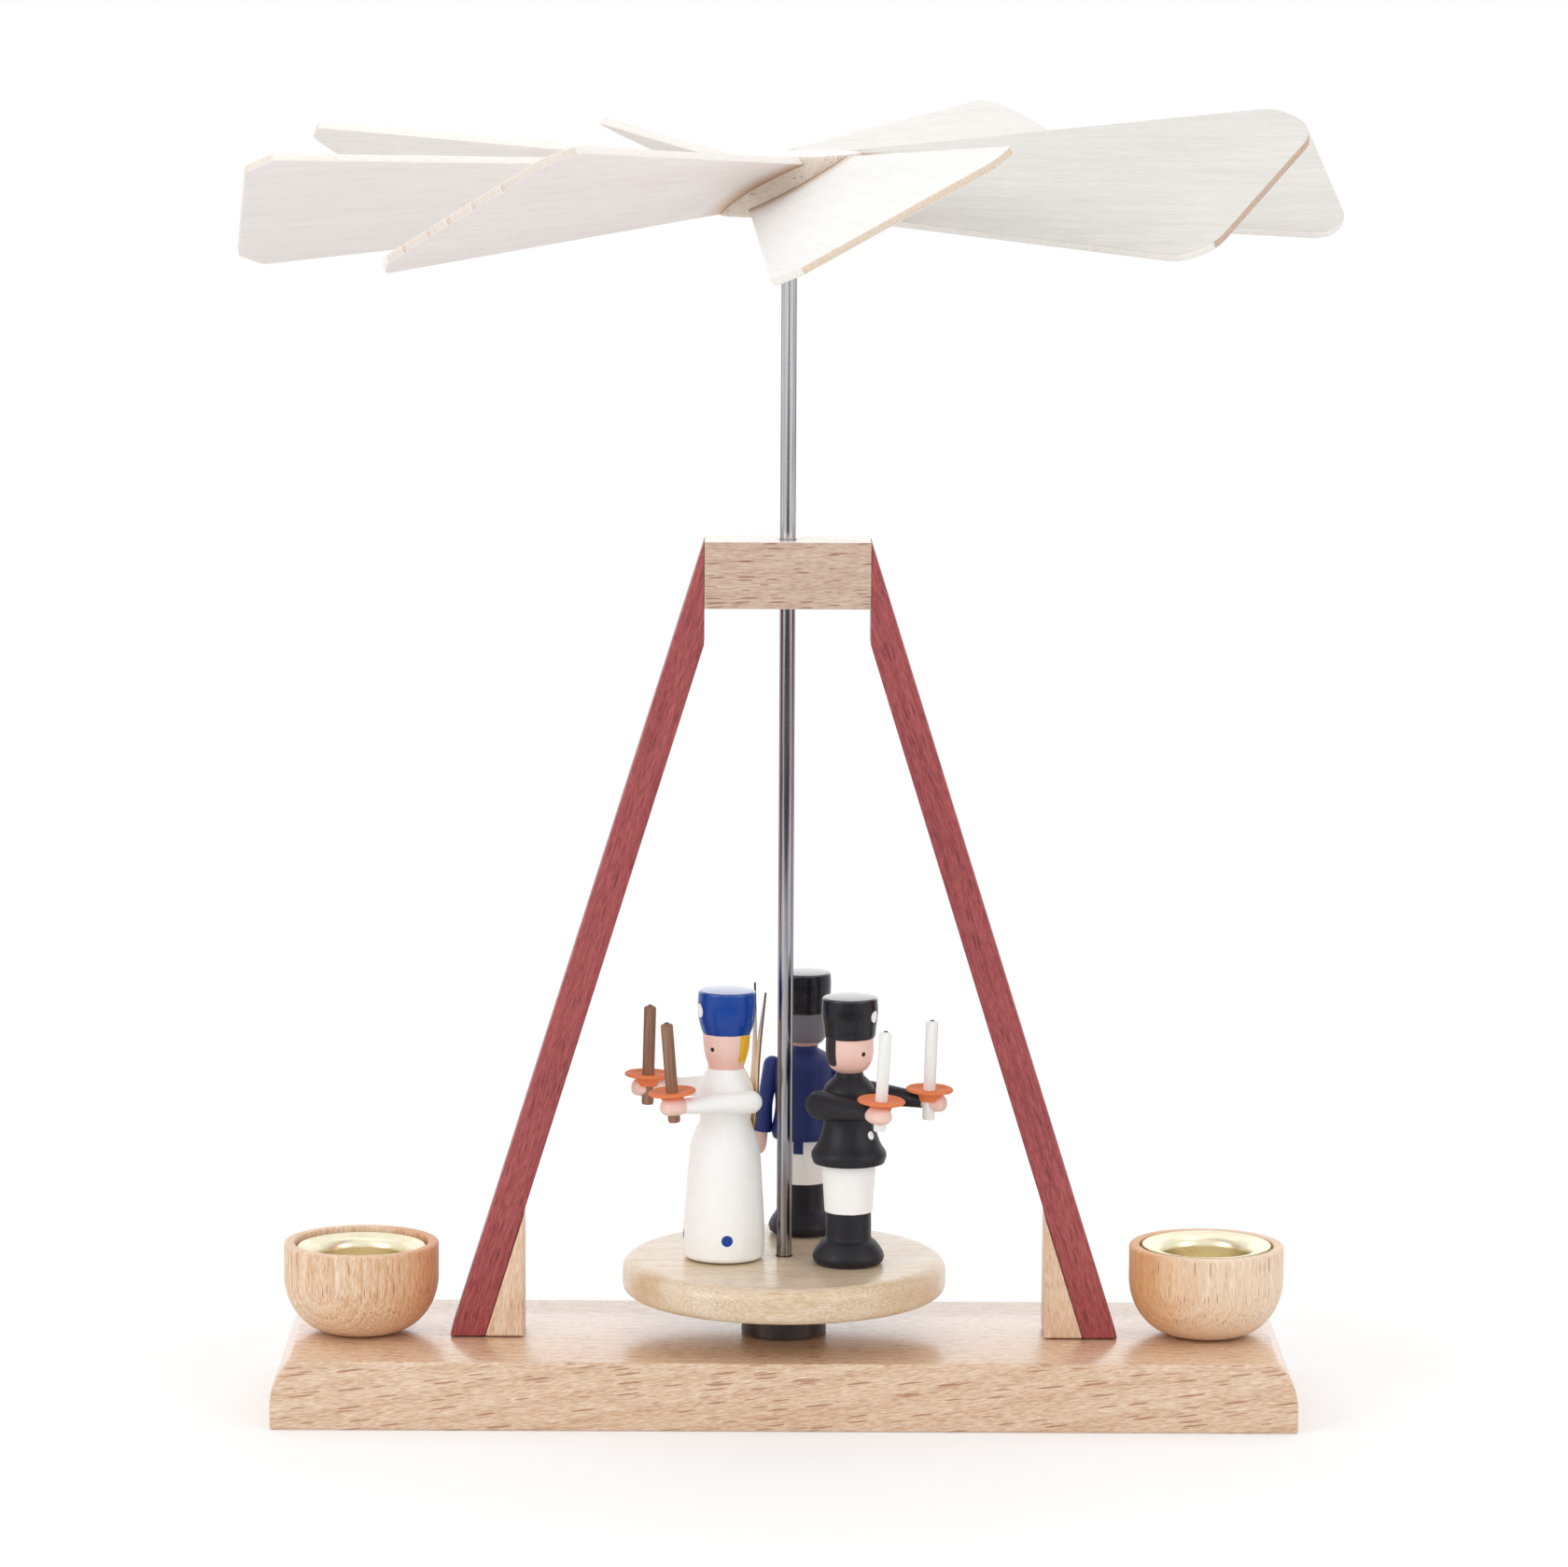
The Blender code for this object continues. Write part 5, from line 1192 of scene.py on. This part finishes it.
def hanging_arm_profile(length, radius):
    """A sleeve that narrows towards the elbow and widens to its cuff, with a small hand."""
    hand_end = length + FIST_LENGTH / 2
    cuff = length - FIST_LENGTH / 2
    hand = [(0.0, hand_end), (0.7, hand_end - 0.15), (1.2, hand_end - 0.9), (1.35, hand_end - 2.2),
            (1.3, cuff)]
    sleeve = [(radius * 1.1, cuff - 0.1), (radius * 1.13, cuff - 1.6), (radius * 0.86, length * 0.5),
              (radius * 0.9, length * 0.3), (radius, 0.4)]
    return smooth_curve(hand, 5) + smooth_curve(sleeve, 5) + arc((0.0, 0.0), radius, 0.0, -90.0, 10)


def make_bandsman():
    figure = place_at((4.0, 22.3, FIGURE_Z), (0.0, 0.0, math.radians(88.0)))
    profile = miner_profile(5.3, BANDSMAN_CHEST_RADIUS + WIDER_CHEST, 5.8, 26.0, 6.6, 19.0, 4.8)
    paint = miner_paint("bandsman_paint", NAVY, GREY, 19.05, 39.0, 0.0, tail=True)
    turned_piece("bandsman", profile, [paint], "rotor", "bandsman_body", figure)
    length, radius = HANGING_ARM_LENGTH, HANGING_ARM_RADIUS
    offset = shoulder_offset(BANDSMAN_CHEST_RADIUS + WIDER_CHEST / 3, radius, HANGING_ARM_FLAT)
    # Painted light: the sleeves are a lighter navy than the coat's same paint.
    material = arm_paint("bandsman_arm_paint", "2a3c80", length - FIST_LENGTH / 2)
    for side, side_sign in SIDES.items():
        sign = -side_sign
        turn = (math.pi + sign * HANGING_ARM_SPLAY, 0.0, 0.0)
        mount = figure @ place_at((0.0, sign * offset, HANGING_ARM_Z), turn)
        solid = turned_solid(hanging_arm_profile(length, radius), 48)
        for vertex in solid.verts:
            bend = math.sin(math.pi * min(max(vertex.co.z / length, 0.0), 1.0))
            vertex.co.y -= sign * ELBOW_OUT * bend
        new_piece("bandsman_sleeve_" + side, solid, [material], "rotor",
                  "bandsman_arm_" + side, mount)


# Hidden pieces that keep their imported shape

def dress_hidden(gold):
    dowel = beech("beech_dowel", turn=(0.0, math.pi / 2, 0.0))
    looks = {"bearing_cup": gold, "bowl_dowel_left": dowel, "bowl_dowel_right": dowel}
    for name, material in looks.items():
        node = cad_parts[name]
        node.data.materials.clear()
        node.data.materials.append(material)


# Stage, light and camera

def background_ray(n):
    """1 for rays from the camera, or seen in gloss or glass."""
    path = n.make("LightPath").node.outputs
    seen = n.maths("MAXIMUM", path["Is Camera Ray"], path["Is Glossy Ray"])
    return n.maths("MAXIMUM", seen, path["Is Transmission Ray"])


def make_world():
    """White where it is seen, and a little dimmer as a light."""
    bpy.context.scene.world = bpy.data.worlds.new("studio")
    n = Nodes("studio", bpy.context.scene.world)
    background = n.tree.nodes["Background"].inputs
    background["Color"].default_value = (1.0, 1.0, 1.0, 1.0)
    n.put(n.ramp(background_ray(n), 0.0, 1.0, WORLD_LIGHT, 1.0), background["Strength"])


def flat_sheet(name, half_width, near_y, far_y, z, material):
    mesh = bpy.data.meshes.new(name)
    corners = ((-half_width, near_y), (half_width, near_y), (half_width, far_y), (-half_width, far_y))
    mesh.from_pydata([(x, y, z) for x, y in corners], [], [(0, 1, 2, 3)])
    mesh.materials.append(material)
    return linked(name, mesh)


def make_floor():
    """A pale floor that keeps the shadow near the object and is the white background further off."""
    n = Nodes("floor")
    n.tree.nodes.remove(n.shader)
    seen = background_ray(n)
    white = (1.0, 1.0, 1.0, 1.0)
    away = n.make("VectorMath", {0: n.make("TexCoord", output=3)}, output=1, operation="LENGTH")
    far = n.times(n.ramp(away, *FLOOR_FADE, smooth=True), seen)
    pale = n.make("BsdfDiffuse", {"Color": (0.8, 0.8, 0.8, 1.0)})
    glow = n.make("Emission", {"Color": white, "Strength": n.times(seen, FLOOR_GLOW)})
    near = n.make("AddShader", {0: pale, 1: glow})
    background = n.make("Emission", {"Color": white, "Strength": 1.0})
    shader = n.make("MixShader", {0: far, 1: near, 2: background})
    n.tree.links.new(shader, n.tree.nodes["Material Output"].inputs["Surface"])
    floor = flat_sheet("floor", FLOOR_HALF, -FLOOR_HALF, FLOOR_HALF, 0.0, n.owner)


def make_dark_card():
    """A grey card low in front, seen only in gloss, which gives the steel and brass their darker middle."""
    material = Nodes("card").finish("36363e", 0.9)
    card = flat_sheet("card", CARD_HALF_WIDTH, *CARD_REACH, CARD_Z, material)
    for rays in ("camera", "diffuse", "shadow", "transmission"):
        setattr(card, "visible_" + rays, False)


def make_light(name, place, target, size, power):
    light = bpy.data.lights.new(name, "AREA")
    light.shape = "RECTANGLE"
    light.size, light.size_y = size
    light.energy = power
    holder = linked(name, light)
    holder.location = place
    holder.rotation_euler = (Vector(target) - Vector(place)).to_track_quat("-Z", "Y").to_euler()
    holder.visible_camera = False


def make_camera():
    turn = Matrix.Rotation(-CAMERA_YAW, 4, "Z")
    turn @= Matrix.Rotation(math.pi / 2 - CAMERA_PITCH, 4, "X")
    turn @= Matrix.Rotation(-CAMERA_ROLL, 4, "Z")
    data = bpy.data.cameras.new("camera")
    data.lens = CAMERA_LENS
    data.sensor_width = SENSOR_WIDTH
    data.clip_start = 0.05
    data.clip_end = 60.0
    bpy.context.scene.camera = linked("camera", data, place_at(CAMERA_PLACE) @ turn)


def main():
    plates = plate_paint()
    make_board()
    make_struts()
    make_wedges()
    make_crossbeam()
    make_bearing()
    gold = brass()
    # The last colour of each bowl is its painted shade.
    make_bowl("left", gold, (-62.0, 34.0), 0.5, "edc9ae")
    make_bowl("right", gold, (60.0, -35.0), 0.3, "f3d3ac")
    make_shaft()
    make_turntable()
    make_wheel()
    make_angel(plates)
    make_black_miner(plates)
    make_bandsman()
    dress_hidden(gold)
    make_floor()
    make_dark_card()
    make_world()
    for name, settings in LIGHTS.items():
        make_light(name, *settings)
    make_camera()
    bpy.context.scene.view_settings.view_transform = "Standard"


main()
